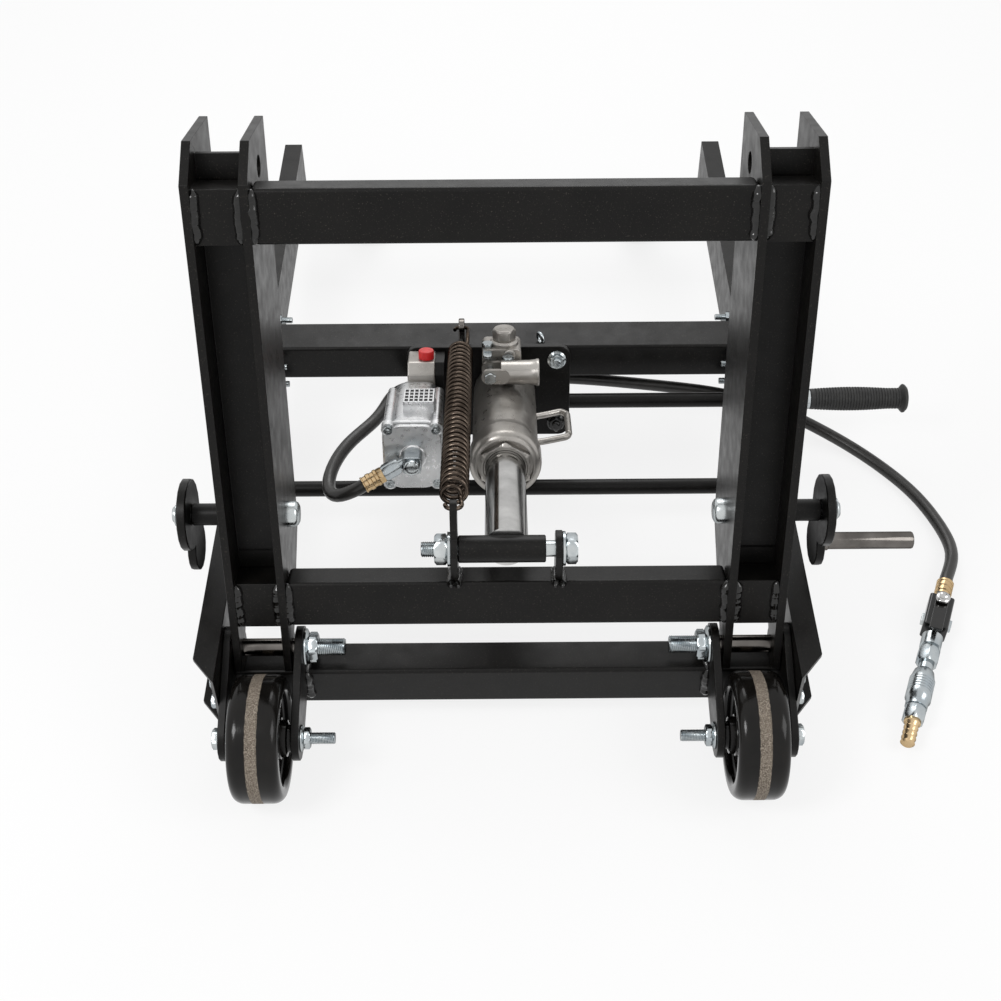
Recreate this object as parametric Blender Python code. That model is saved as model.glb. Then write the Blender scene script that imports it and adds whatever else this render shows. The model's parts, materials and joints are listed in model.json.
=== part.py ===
"""Air and hydraulic transmission jack: wheeled base, swinging lift frame, jack unit and air line.

Metres, +Z up.  X runs across the base, Y from the front axle to the rear, Z up from the floor.
"""
from math import asin, atan2, cos, hypot, pi, radians, sin

import bmesh
import bpy
from mathutils import Matrix, Vector

# Clearances
GAP = 0.0003
RUN_GAP = 0.0003

# Base rails
RAIL_INNER = 0.285
RAIL_WIDTH = 0.024
RAIL_HEIGHT = 0.074
RAIL_BOTTOM = 0.057
RAIL_WALL = 0.005
RAIL_FRONT = 0.018
RAIL_END = 0.970
RAIL_FRONT_CUT = 0.030

# Front wheels, axles and brackets
WHEEL_RADIUS = 0.0635
WHEEL_WIDTH = 0.050
WHEEL_HUB_RADIUS = 0.018
WHEEL_RECESS = 0.009
WHEEL_RIM = 0.047
AXLE_RADIUS = 0.006
AXLE_NUT = 0.0095
AXLE_THREAD = 0.024
BRACKET_INNER = 0.205
BRACKET_THICKNESS = 0.008
BRACKET_OUTER = 0.277
BRACKET_END_RADIUS = 0.022

# Cross members
CROSS_FRONT_Y = 0.069
CROSS_DEPTH = 0.039
CROSS_BOTTOM = 0.029
CROSS_TOP = 0.080
REAR_TUBE_Y = 0.525
REAR_TUBE_DEPTH = 0.050
REAR_TUBE_BOTTOM = 0.077
REAR_TUBE_TOP = 0.125
TIE_Y = 0.335
TIE_Z = 0.0755
TIE_RADIUS = 0.009

# Rear casters
CASTER_X = 0.195
CASTER_Y = 0.885
CASTER_TRAIL = 0.040
CASTER_RADIUS = 0.0375
CASTER_WIDTH = 0.033
CASTER_PLATE_TOP = 0.095
CASTER_PLATE_THICKNESS = 0.008
CASTER_PLATE_LENGTH = 0.058
FORK_WALL = 0.004
FORK_DISC = 0.028
STEM_RADIUS = 0.008
CASTER_AXLE_RADIUS = 0.005

# Lift frame: u runs up the arms from the pivot, w runs from front to back across them
PIVOT_Y = 0.086
PIVOT_Z = 0.100
PIVOT_RADIUS = 0.009
PIVOT_NUT = 0.0135
LIFT_ANGLE = radians(73)
ARM_INNER = 0.217
ARM_OUTER = 0.275
ARM_WALL = 0.008
ARM_FRONT_W = -0.018
ARM_DEPTH = 0.115
ARM_TOP_U = 0.513
ARM_WEB_W = 0.021
ARM_WEB_WALL = 0.006
ARM_WEB_START = 0.095
ARM_WEB_TOP = 0.500
ARM_FOOT_RADIUS = 0.018
ARM_TOP_CUT = 0.030
HEAD_HOLE_U = 0.480
HEAD_HOLE_W = 0.050
HEAD_HOLE_RADIUS = 0.010
TUBE_HEIGHT = 0.050
TUBE_SETBACK = 0.006
LOWER_TUBE_U = 0.033
LOWER_TUBE_DEPTH = 0.032
TOP_TUBE_U = 0.428
TOP_TUBE_DEPTH = 0.028

# Ears, clevis bolt and ram sleeve
EAR_X = 0.0475
EAR_THICKNESS = 0.007
BOLT_U = 0.116
BOLT_W = -0.003
BOLT_RADIUS = 0.008
BOLT_HEX = 0.0135
WASHER_RADIUS = 0.017
EAR_RADIUS = 0.018
HOOK_U = 0.160
HOOK_HOLE = 0.0048
HOLE_STEPS = 16
HOOK_EYE = 0.010
SLEEVE_RADIUS = 0.0135

# Jack unit, along its own axis from the sleeve to the rear pivot
JACK_PIVOT_Y = 0.4905
JACK_PIVOT_Z = 0.0992
JACK_PIN_RADIUS = 0.007
JACK_PIN_FLOAT = 0.0096
LUG_X = 0.030
LUG_THICKNESS = 0.010
LUG_RADIUS = 0.023
LUG_REACH = 0.017
PLATE_THICKNESS = 0.010
PLATE_LEFT = -0.115
PLATE_RIGHT = 0.078
PLATE_LOW = -0.0575
PLATE_HIGH = 0.0575
PLATE_CORNER = 0.013
CYLINDER_RADIUS = 0.0395
CYLINDER_LENGTH = 0.176
NECK_RADIUS = 0.033
GLAND_LENGTH = 0.020
GLAND_HEX = 0.0345
RAM_RADIUS = 0.0215
RAM_LENGTH = 0.262
STROKE_ROOM = 0.082
CLEVIS_WALL = 0.010
CLEVIS_BASE = 0.006
CLEVIS_RADIUS = 0.010

# Pump, valve block and air motor on the jack
PUMP_LEFT = -0.026
PUMP_RIGHT = 0.020
PUMP_LENGTH = 0.040
PUMP_HEIGHT = 0.032
PUMP_CAP_HEX = 0.012
PUMP_CAP_HEIGHT = 0.018
SOCKET_PIVOT_X = -0.016
SOCKET_LENGTH = 0.062
SOCKET_RADIUS = 0.0125
SOCKET_FLARE = 0.0155
SOCKET_DEPTH = 0.040
SOCKET_PIN_RADIUS = 0.004
HANDLE_RADIUS = 0.009
VALVE_LEFT = -0.112
VALVE_RIGHT = -0.069
VALVE_LENGTH = 0.044
VALVE_LOW = 0.012
VALVE_HIGH = 0.054
PLUG_RADIUS = 0.009
PLUG_HEIGHT = 0.010
MOTOR_X = -0.101
MOTOR_WIDTH = 0.062
MOTOR_HEIGHT = 0.076
MOTOR_LENGTH = 0.112
MOTOR_BOSS = 0.006
MOTOR_BOSS_INSET = 0.0055
COVER_EAR = 0.0078
COVER_THICKNESS = 0.013
EXHAUST_WIDTH = 0.034
EXHAUST_LENGTH = 0.034
EXHAUST_HEIGHT = 0.012
BANJO_SIZE = 0.020
BANJO_BOLT = 0.007
CARRY_REACH = 0.072
CARRY_WIRE = 0.0033

# Return spring
SPRING_X = -0.051
SPRING_RADIUS = 0.0125
SPRING_WIRE = 0.00225
SPRING_TURNS = 32
COIL_POINTS = 8
SPRING_HOOK = 0.008
HOOK_STEPS = 12
SPRING_LEAD = 0.030
SPRING_TAIL = 0.074
SPRING_RISE = 0.007
ANCHOR_Y = 0.538
ANCHOR_Z = 0.147

# Safety lock
LOCK_U = 0.135
LOCK_W = 0.036
LOCK_PIN_RADIUS = 0.008
LOCK_PIN_END = 0.330
LOCK_SPACER_RADIUS = 0.011
LOCK_LINK_X = 0.311
LOCK_LINK_THICKNESS = 0.009
LOCK_LINK_RADIUS = 0.036
LOCK_FOOT_RADIUS = 0.025
LOCK_FOOT_Y = 0.005
LOCK_FOOT_Z = -0.051
PEDAL_RADIUS = 0.009
PEDAL_END = 0.405

# Stored pump handle
HANDLE_Y = 0.484
HANDLE_Z = 0.074
HANDLE_START = 0.062
HANDLE_HOLDER_X = 0.0555
HANDLE_HOLDER_WALL = 0.006
HANDLE_HOLDER_RIM = 0.003
GRIP_START = 0.372
GRIP_END = 0.491
GRIP_RADIUS = 0.0145
GRIP_FLARE = 0.0175
GRIP_RIBS = 12
GRIP_RIB_DEPTH = 0.0018

# Air line
HOSE_RADIUS = 0.0068
FERRULE_HEX = 0.0085
FERRULE_RADIUS = 0.0095
FERRULE_LENGTH = 0.046
FERRULE_DIRECTION = Vector((-0.86, -0.40, -0.30))
CHAIN_START = Vector((0.497, 0.238, 0.0145))
CHAIN_DIRECTION = Vector((-0.372, -0.928, 0.0))
CHAIN_FERRULE = 0.030
VALVE_BLOCK_LENGTH = 0.046
VALVE_BLOCK_HALF = 0.0135
LEVER_LENGTH = 0.052
LEVER_WIDTH = 0.014
LEVER_THICKNESS = 0.003
COUPLER_RADIUS = 0.0135
COUPLER_LENGTH = 0.158
HOSE_POINTS = 52

# Derived places
CENTRE_X = (GRIP_END - LOCK_PIN_END) / 2
CENTRE_Y = (RAIL_END - WHEEL_RADIUS) / 2
RAIL_TOP = RAIL_BOTTOM + RAIL_HEIGHT
WHEEL_X = (BRACKET_INNER + BRACKET_THICKNESS + BRACKET_OUTER) / 2
ARM_BACK_W = ARM_FRONT_W + ARM_DEPTH
SIDES = {"left": -1, "right": 1}


def lift_point(u, w):
    """Side-view place (y, z) of a point given along and across the raised lift arms."""
    y = PIVOT_Y + u * cos(LIFT_ANGLE) + w * sin(LIFT_ANGLE)
    z = PIVOT_Z + u * sin(LIFT_ANGLE) - w * cos(LIFT_ANGLE)
    return y, z


TIP_Y, TIP_Z = lift_point(BOLT_U, BOLT_W)
JACK_LENGTH = hypot(JACK_PIVOT_Y - TIP_Y, JACK_PIVOT_Z - TIP_Z)
JACK_ANGLE = atan2(JACK_PIVOT_Z - TIP_Z, JACK_PIVOT_Y - TIP_Y)
PLATE_BACK = JACK_LENGTH - LUG_REACH
PLATE_FRONT = PLATE_BACK - PLATE_THICKNESS
CYLINDER_BACK = PLATE_FRONT - GAP
CYLINDER_FRONT = CYLINDER_BACK - CYLINDER_LENGTH
GLAND_BACK = CYLINDER_FRONT - GAP
GLAND_FRONT = GLAND_BACK - GLAND_LENGTH
PUMP_BACK = PLATE_FRONT - GAP
PUMP_FRONT = PUMP_BACK - PUMP_LENGTH
PUMP_LOW = CYLINDER_RADIUS + GAP
PUMP_TOP = PUMP_LOW + PUMP_HEIGHT
SOCKET_Y = PUMP_FRONT - GAP - SOCKET_RADIUS
SOCKET_Z = PUMP_LOW + SOCKET_RADIUS
VALVE_BACK = PLATE_FRONT - GAP
VALVE_FRONT = VALVE_BACK - VALVE_LENGTH
MOTOR_BACK = VALVE_FRONT - GAP
MOTOR_FRONT = MOTOR_BACK - MOTOR_LENGTH
COVER_BACK = MOTOR_FRONT - GAP
COVER_FRONT = COVER_BACK - COVER_THICKNESS


def jack_point(x, y, z):
    """Place in the base frame of a point given on the jack's own axes."""
    c = cos(JACK_ANGLE)
    s = sin(JACK_ANGLE)
    return Vector((x, TIP_Y + y * c - z * s, TIP_Z + y * s + z * c))


for old in list(bpy.data.objects):
    bpy.data.objects.remove(old, do_unlink=True)


def material(name, colour, roughness, metallic):
    """Principled material, made once for each name."""
    found = bpy.data.materials.get(name)
    if found:
        return found
    made = bpy.data.materials.new(name)
    made.use_nodes = True
    shader = made.node_tree.nodes["Principled BSDF"]
    shader.inputs["Base Color"].default_value = (*colour, 1.0)
    shader.inputs["Roughness"].default_value = roughness
    shader.inputs["Metallic"].default_value = metallic
    return made


PAINT = material("black_paint", (0.012, 0.012, 0.012), 0.35, 0.0)
ZINC = material("zinc", (0.62, 0.62, 0.60), 0.35, 1.0)
CHROME = material("chrome", (0.80, 0.80, 0.80), 0.10, 1.0)
CAST = material("cast_iron", (0.30, 0.29, 0.28), 0.50, 0.8)
ALUMINIUM = material("aluminium", (0.72, 0.72, 0.72), 0.40, 1.0)
BRASS = material("brass", (0.70, 0.50, 0.22), 0.30, 1.0)
RUBBER = material("black_rubber", (0.018, 0.018, 0.018), 0.70, 0.0)
TREAD = material("wheel_black", (0.010, 0.010, 0.010), 0.18, 0.0)
SPRING_STEEL = material("spring_steel", (0.10, 0.075, 0.06), 0.40, 0.9)
RED = material("red_plastic", (0.70, 0.03, 0.03), 0.40, 0.0)


def empty(name, place, parent=None, turn=0.0):
    """Guide that carries pieces at a place, turned about X."""
    guide = bpy.data.objects.new(name, None)
    guide.location = place
    guide.rotation_euler = (turn, 0.0, 0.0)
    guide.parent = parent
    bpy.context.collection.objects.link(guide)
    return guide


ROOT = empty("base_origin", (-CENTRE_X, -CENTRE_Y, 0.0))
LIFT = empty("lift_axis", (0.0, PIVOT_Y, PIVOT_Z), ROOT, LIFT_ANGLE)
JACK = empty("ram_axis", (0.0, TIP_Y, TIP_Z), ROOT, JACK_ANGLE)


def place_mesh(name, mesh, finish, parent=ROOT, location=(0, 0, 0), smooth=True):
    """Link a mesh as a named piece."""
    mesh.materials.clear()
    mesh.materials.append(finish)
    if smooth:
        mesh.shade_smooth()
        mesh.set_sharp_from_angle(angle=radians(35))
    piece = bpy.data.objects.new(name, mesh)
    piece.location = location
    piece.parent = parent
    bpy.context.collection.objects.link(piece)
    return piece


def to_mesh(shape, name):
    """Turn a bmesh into a mesh whose faces point out."""
    bmesh.ops.recalc_face_normals(shape, faces=shape.faces)
    mesh = bpy.data.meshes.new(name)
    shape.to_mesh(mesh)
    shape.free()
    return mesh


def combine(name, first, steps):
    """Union or cut a bmesh with others, one after another."""
    body = bpy.data.objects.new(name + "_work", to_mesh(first, name))
    bpy.context.collection.objects.link(body)
    helpers = []
    for operation, shape in steps:
        helper = bpy.data.objects.new(name + "_tool", to_mesh(shape, name + "_tool"))
        bpy.context.collection.objects.link(helper)
        helpers.append(helper)
        change = body.modifiers.new(operation, "BOOLEAN")
        change.operation = operation
        change.solver = "EXACT"
        change.object = helper
    graph = bpy.context.evaluated_depsgraph_get()
    mesh = bpy.data.meshes.new_from_object(body.evaluated_get(graph))
    for used in [body, *helpers]:
        bpy.data.objects.remove(used, do_unlink=True)
    mesh.name = name
    return mesh


def arc(cy, cz, radius, start, end, steps):
    """Points on an arc, angles in degrees."""
    turns = [radians(start + (end - start) * i / steps) for i in range(steps + 1)]
    return [(cy + radius * cos(t), cz + radius * sin(t)) for t in turns]


def rounded_box(half_a, half_b, corner, steps=4, centre=(0.0, 0.0)):
    """Outline of a rectangle with round corners."""
    a = half_a - corner
    b = half_b - corner
    corners = [(a, b, 0), (-a, b, 90), (-a, -b, 180), (a, -b, 270)]
    points = []
    for ca, cb, start in corners:
        points += arc(centre[0] + ca, centre[1] + cb, corner, start, start + 90, steps)
    return points


AXIS_ORDER = {"X": (2, 0, 1), "Y": (0, 2, 1), "Z": (0, 1, 2)}


def plate(outline, low, high, axis="X", holes=()):
    """Flat piece: an outline with round holes, extruded along an axis from low to high.

    The outline is in (y, z) for X, (x, z) for Y and (x, y) for Z.  Holes are (a, b, radius, steps).
    """
    shape = bmesh.new()
    loops = [outline]
    for a, b, radius, steps in holes:
        loops.append(arc(a, b, radius, 0, 360 - 360 / steps, steps - 1))
    edges = []
    order = AXIS_ORDER[axis]
    for loop in loops:
        points = []
        for a, b in loop:
            flat = (a, b, low)
            points.append(shape.verts.new([flat[i] for i in order]))
        for first, second in zip(points, points[1:] + points[:1]):
            edges.append(shape.edges.new((first, second)))
    made = bmesh.ops.triangle_fill(shape, use_beauty=True, edges=edges)
    faces = [item for item in made["geom"] if isinstance(item, bmesh.types.BMFace)]
    grown = bmesh.ops.extrude_face_region(shape, geom=faces)
    moved = [item for item in grown["geom"] if isinstance(item, bmesh.types.BMVert)]
    step = [(0, 0, high - low)[i] for i in order]
    bmesh.ops.translate(shape, vec=step, verts=moved)
    return shape


def block(low, high):
    """Box between two corners."""
    outline = [(low[0], low[1]), (high[0], low[1]), (high[0], high[1]), (low[0], high[1])]
    return plate(outline, low[2], high[2], "Z")


def loft(rings, closed=False):
    """Skin rings of equal counts; closed joins the last ring to the first, else the ends are capped."""
    shape = bmesh.new()
    made = [[shape.verts.new(point) for point in ring] for ring in rings]
    pairs = list(zip(made, made[1:]))
    if closed:
        pairs.append((made[-1], made[0]))
    count = len(made[0])
    for first, second in pairs:
        for i in range(count):
            j = (i + 1) % count
            shape.faces.new((first[i], first[j], second[j], second[i]))
    if not closed:
        shape.faces.new(made[0])
        shape.faces.new(made[-1])
    return shape


def turned(profile, segments=24, closed=False, side=1, matrix=None):
    """Solid turned about X.  Profile rows are (x, radius) or (x, half width across flats, "hex")."""
    rings = []
    for row in profile:
        ring = []
        for i in range(segments):
            turn = 2 * pi * i / segments
            radius = row[1]
            if len(row) == 3:
                radius /= cos((turn + pi / 6) % (pi / 3) - pi / 6)
            ring.append((side * row[0], radius * cos(turn), radius * sin(turn)))
        rings.append(ring)
    shape = loft(rings, closed)
    if matrix:
        bmesh.ops.transform(shape, matrix=matrix, verts=shape.verts)
    return shape


def rod(x0, x1, radius, y=0.0, z=0.0, segments=24):
    """Plain round bar along X."""
    return turned([(x0, radius), (x1, radius)], segments, matrix=Matrix.Translation((0, y, z)))


def tube(name, points, radius, finish, resolution, parent=ROOT):
    """Round wire or hose along points, with flat ends."""
    curve = bpy.data.curves.new(name, "CURVE")
    curve.dimensions = "3D"
    curve.bevel_depth = radius
    curve.bevel_resolution = resolution
    curve.use_fill_caps = True
    spline = curve.splines.new("POLY")
    spline.points.add(len(points) - 1)
    for spot, point in zip(spline.points, points):
        spot.co = (*point, 1.0)
    curve.materials.append(finish)
    piece = bpy.data.objects.new(name, curve)
    piece.parent = parent
    bpy.context.collection.objects.link(piece)
    return piece


def smooth_path(knots, count):
    """Even points on a smooth curve through knots."""
    fine = []
    padded = [2 * knots[0] - knots[1], *knots, 2 * knots[-1] - knots[-2]]
    pieces = 24
    for a, b, c, d in zip(padded, padded[1:], padded[2:], padded[3:]):
        for i in range(pieces):
            t = i / pieces
            fine.append(0.5 * (2 * b + (c - a) * t + (2 * a - 5 * b + 4 * c - d) * t ** 2
                               + (3 * b - a - 3 * c + d) * t ** 3))
    fine.append(knots[-1])
    lengths = [0.0]
    for first, second in zip(fine, fine[1:]):
        lengths.append(lengths[-1] + (second - first).length)
    points = []
    spot = 0
    for i in range(count):
        target = lengths[-1] * i / (count - 1)
        while spot < len(lengths) - 2 and lengths[spot + 1] < target:
            spot += 1
        part = (target - lengths[spot]) / (lengths[spot + 1] - lengths[spot])
        points.append(fine[spot].lerp(fine[spot + 1], min(part, 1.0)))
    return points


def along(direction):
    """Rotation that lays X along a direction."""
    return direction.normalized().to_track_quat("X", "Z").to_matrix().to_4x4()


def rail(side):
    """Channel rail, flanges outward, its front cut back towards the flange tips."""
    wide = RAIL_INNER + RAIL_WIDTH
    web = RAIL_INNER + RAIL_WALL
    section = [(RAIL_INNER, RAIL_BOTTOM), (wide, RAIL_BOTTOM), (wide, RAIL_BOTTOM + RAIL_WALL),
               (web, RAIL_BOTTOM + RAIL_WALL), (web, RAIL_TOP - RAIL_WALL), (wide, RAIL_TOP - RAIL_WALL),
               (wide, RAIL_TOP), (RAIL_INNER, RAIL_TOP)]
    front = []
    back = []
    for x, z in section:
        cut = RAIL_FRONT_CUT * (x - RAIL_INNER) / RAIL_WIDTH
        front.append((side * x, RAIL_FRONT + cut, z))
        back.append((side * x, RAIL_END, z))
    through = sorted((side * (RAIL_INNER - RAIL_WALL), side * (web + RAIL_WALL)))
    cuts = [("DIFFERENCE", rod(*through, PIVOT_RADIUS + RUN_GAP, PIVOT_Y, PIVOT_Z))]
    if side > 0:
        cuts.append(("DIFFERENCE", rod(*through, HANDLE_RADIUS + RUN_GAP, HANDLE_Y, HANDLE_Z)))
    return combine("rail", loft([front, back]), cuts)


def bracket_outline():
    """Side plate from the axle up and back to the lift pivot, notched round the cross member."""
    slope = atan2(PIVOT_Z - WHEEL_RADIUS, PIVOT_Y) * 180 / pi
    notch_y = CROSS_FRONT_Y - GAP
    notch_z = CROSS_TOP + GAP
    back_drop = asin((PIVOT_Z - notch_z) / BRACKET_END_RADIUS) * 180 / pi
    points = arc(0.0, WHEEL_RADIUS, BRACKET_END_RADIUS, 90 + slope, 290, 7)
    points += [(notch_y, WHEEL_RADIUS - BRACKET_END_RADIUS / 3), (notch_y, notch_z)]
    points += arc(PIVOT_Y, PIVOT_Z, BRACKET_END_RADIUS, -back_drop, 90 + slope, 6)
    return points


def front_wheel():
    """Hard wheel with a crowned tread, dished sides and a bored hub."""
    half = WHEEL_WIDTH / 2
    hub = (BRACKET_OUTER - BRACKET_INNER - BRACKET_THICKNESS) / 2 - GAP
    bore = AXLE_RADIUS + RUN_GAP
    crown = WHEEL_RADIUS * 0.06
    side = [(half - WHEEL_RECESS, WHEEL_HUB_RADIUS), (half - WHEEL_RECESS, WHEEL_RIM),
            (half, WHEEL_RIM + crown), (half, WHEEL_RADIUS - 2 * crown), (half - crown, WHEEL_RADIUS - crown / 2),
            (half * 0.55, WHEEL_RADIUS)]
    profile = [(-hub, bore), (-hub, WHEEL_HUB_RADIUS)]
    profile += [(-x, r) for x, r in side]
    profile += side[::-1]
    profile += [(hub, WHEEL_HUB_RADIUS), (hub, bore)]
    return turned(profile, 32, closed=True)


def through_bolt(inner, outer, radius, flats, thread, cap):
    """Bolt across a bracket: nut and thread end inside, hex head outside."""
    nut = inner - GAP
    head = outer + GAP
    return [(nut - cap - thread, radius * 0.85), (nut - cap - thread + radius / 4, radius), (nut - cap, radius),
            (nut - cap, flats, "hex"), (nut, flats, "hex"), (nut, radius), (head, radius),
            (head, flats, "hex"), (head + cap * 0.8, flats, "hex")]


def build_base():
    """Rails, cross members, brackets, axles and pins that stay still."""
    reach = RAIL_INNER - GAP
    bracket_holes = [(0.0, WHEEL_RADIUS, AXLE_RADIUS + RUN_GAP, 12), (PIVOT_Y, PIVOT_Z, PIVOT_RADIUS + RUN_GAP, 18)]
    bracket_back = RAIL_INNER - GAP
    for label, side in SIDES.items():
        place_mesh("rail_" + label, rail(side), PAINT, smooth=False)
        spans = {"inner": (BRACKET_INNER, BRACKET_INNER + BRACKET_THICKNESS), "outer": (BRACKET_OUTER, bracket_back)}
        for which, (low, high) in spans.items():
            shape = plate(bracket_outline(), side * low, side * high, "X", bracket_holes)
            place_mesh(f"wheel_bracket_{label}_{which}", to_mesh(shape, "bracket"), PAINT)
        axle = through_bolt(BRACKET_INNER, bracket_back, AXLE_RADIUS, AXLE_NUT, AXLE_THREAD, AXLE_NUT)
        place_mesh("front_axle_" + label, to_mesh(turned(axle, 12, side=side), "axle"), ZINC, ROOT,
                   (0, 0, WHEEL_RADIUS))
        web = RAIL_INNER + RAIL_WALL
        pin = through_bolt(BRACKET_INNER, web, PIVOT_RADIUS, PIVOT_NUT, PIVOT_NUT * 2, PIVOT_NUT)
        place_mesh("lift_pivot_pin_" + label, to_mesh(turned(pin, 18, side=side), "pin"), ZINC, ROOT,
                   (0, PIVOT_Y, PIVOT_Z))
    cross = block((-reach, CROSS_FRONT_Y, CROSS_BOTTOM), (reach, CROSS_FRONT_Y + CROSS_DEPTH, CROSS_TOP))
    place_mesh("front_cross_member", to_mesh(cross, "cross"), PAINT)
    tube_back = REAR_TUBE_Y + REAR_TUBE_DEPTH
    rear = block((-reach, REAR_TUBE_Y, REAR_TUBE_BOTTOM), (reach, tube_back, REAR_TUBE_TOP))
    place_mesh("rear_cross_tube", to_mesh(rear, "rear"), PAINT)
    place_mesh("tie_rod", to_mesh(rod(-reach, reach, TIE_RADIUS), "tie"), PAINT, ROOT, (0, TIE_Y, TIE_Z))
    eye = arc(ANCHOR_Y, ANCHOR_Z, HOOK_EYE, 0, 180, 10)
    eye += [(ANCHOR_Y - HOOK_EYE, REAR_TUBE_TOP + GAP), (ANCHOR_Y + HOOK_EYE, REAR_TUBE_TOP + GAP)]
    half = EAR_THICKNESS / 2
    anchor = plate(eye, SPRING_X - half, SPRING_X + half, "X", [(ANCHOR_Y, ANCHOR_Z, HOOK_HOLE, HOLE_STEPS)])
    place_mesh("spring_anchor", to_mesh(anchor, "anchor"), ZINC)
    build_clevis()


def build_clevis():
    """Bracket on the rear tube that carries the jack's rear pin and the inner end of the stored handle."""
    back = REAR_TUBE_Y - GAP
    cheek = LUG_X + LUG_THICKNESS + GAP
    holder_end = HANDLE_HOLDER_X + HANDLE_HOLDER_WALL
    low = HANDLE_Z - CLEVIS_RADIUS / 5
    base = block((-cheek - CLEVIS_WALL, back - CLEVIS_BASE, low), (holder_end, back, REAR_TUBE_TOP))
    steps = []
    sink = back - CLEVIS_BASE / 2
    arm = arc(JACK_PIVOT_Y, JACK_PIVOT_Z, CLEVIS_RADIUS, 90, 270, 7)
    arm += [(sink, JACK_PIVOT_Z - CLEVIS_RADIUS), (sink, JACK_PIVOT_Z + CLEVIS_RADIUS)]
    pin_hole = [(JACK_PIVOT_Y, JACK_PIVOT_Z, JACK_PIN_RADIUS + RUN_GAP, 16)]
    for side in (-1, 1):
        cheek_plate = plate(arm, side * cheek, side * (cheek + CLEVIS_WALL), "X", pin_hole)
        steps.append(("UNION", cheek_plate))
    ring = HANDLE_RADIUS + HANDLE_HOLDER_RIM
    holder = arc(HANDLE_Y, HANDLE_Z, ring, 90, 270, 7)
    holder += [(sink, HANDLE_Z - CLEVIS_RADIUS / 10), (sink, HANDLE_Z + ring)]
    handle_hole = [(HANDLE_Y, HANDLE_Z, HANDLE_RADIUS + RUN_GAP, 16)]
    steps.append(("UNION", plate(holder, HANDLE_HOLDER_X, holder_end, "X", handle_hole)))
    place_mesh("jack_clevis", combine("clevis", base, steps), PAINT)
    outer = cheek + CLEVIS_WALL
    head = JACK_PIN_RADIUS * 1.4
    head_thickness = (HANDLE_HOLDER_X - outer) * 0.7
    pin = [(-outer - GAP - head_thickness, head), (-outer - GAP, head), (-outer - GAP, JACK_PIN_RADIUS),
           (outer + GAP, JACK_PIN_RADIUS), (outer + GAP, head), (outer + GAP + head_thickness, head)]
    place_mesh("jack_pin", to_mesh(turned(pin, 16), "jack_pin"), ZINC, ROOT, (0, JACK_PIVOT_Y, JACK_PIVOT_Z))


def build_front_wheels():
    """Two wheels on the front axle bolts."""
    for label, side in SIDES.items():
        place_mesh("front_wheel_" + label, to_mesh(front_wheel(), "wheel"), TREAD, ROOT,
                   (side * WHEEL_X, 0, WHEEL_RADIUS))


def caster_fork():
    """Swivel fork with its stem and nut, about the stem's axis at floor level."""
    low = CASTER_PLATE_TOP - CASTER_PLATE_THICKNESS - GAP
    disc_low = low - FORK_WALL
    inner = CASTER_WIDTH / 2 + FORK_WALL / 2
    lean = FORK_DISC * 0.8
    foot = CASTER_RADIUS * 0.35
    leg = [(-lean, disc_low + FORK_WALL / 2), (-lean, disc_low - FORK_WALL)]
    leg += arc(CASTER_TRAIL, CASTER_RADIUS, foot, 200, 380, 7)
    leg += [(lean, disc_low + FORK_WALL / 2)]
    hole = [(CASTER_TRAIL, CASTER_RADIUS, CASTER_AXLE_RADIUS + RUN_GAP, 12)]
    upright = Matrix.Rotation(-pi / 2, 4, "Y")
    nut_low = CASTER_PLATE_TOP + GAP
    nut_top = nut_low + STEM_RADIUS
    stem = turned([(disc_low, FORK_DISC), (low, FORK_DISC), (low, STEM_RADIUS), (nut_low, STEM_RADIUS),
                   (nut_low, STEM_RADIUS * 1.6, "hex"), (nut_top, STEM_RADIUS * 1.6, "hex")], 18, matrix=upright)
    steps = []
    for side in (-1, 1):
        steps.append(("UNION", plate(leg, side * inner, side * (inner + FORK_WALL), "X", hole)))
    return combine("fork", stem, steps)


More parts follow.
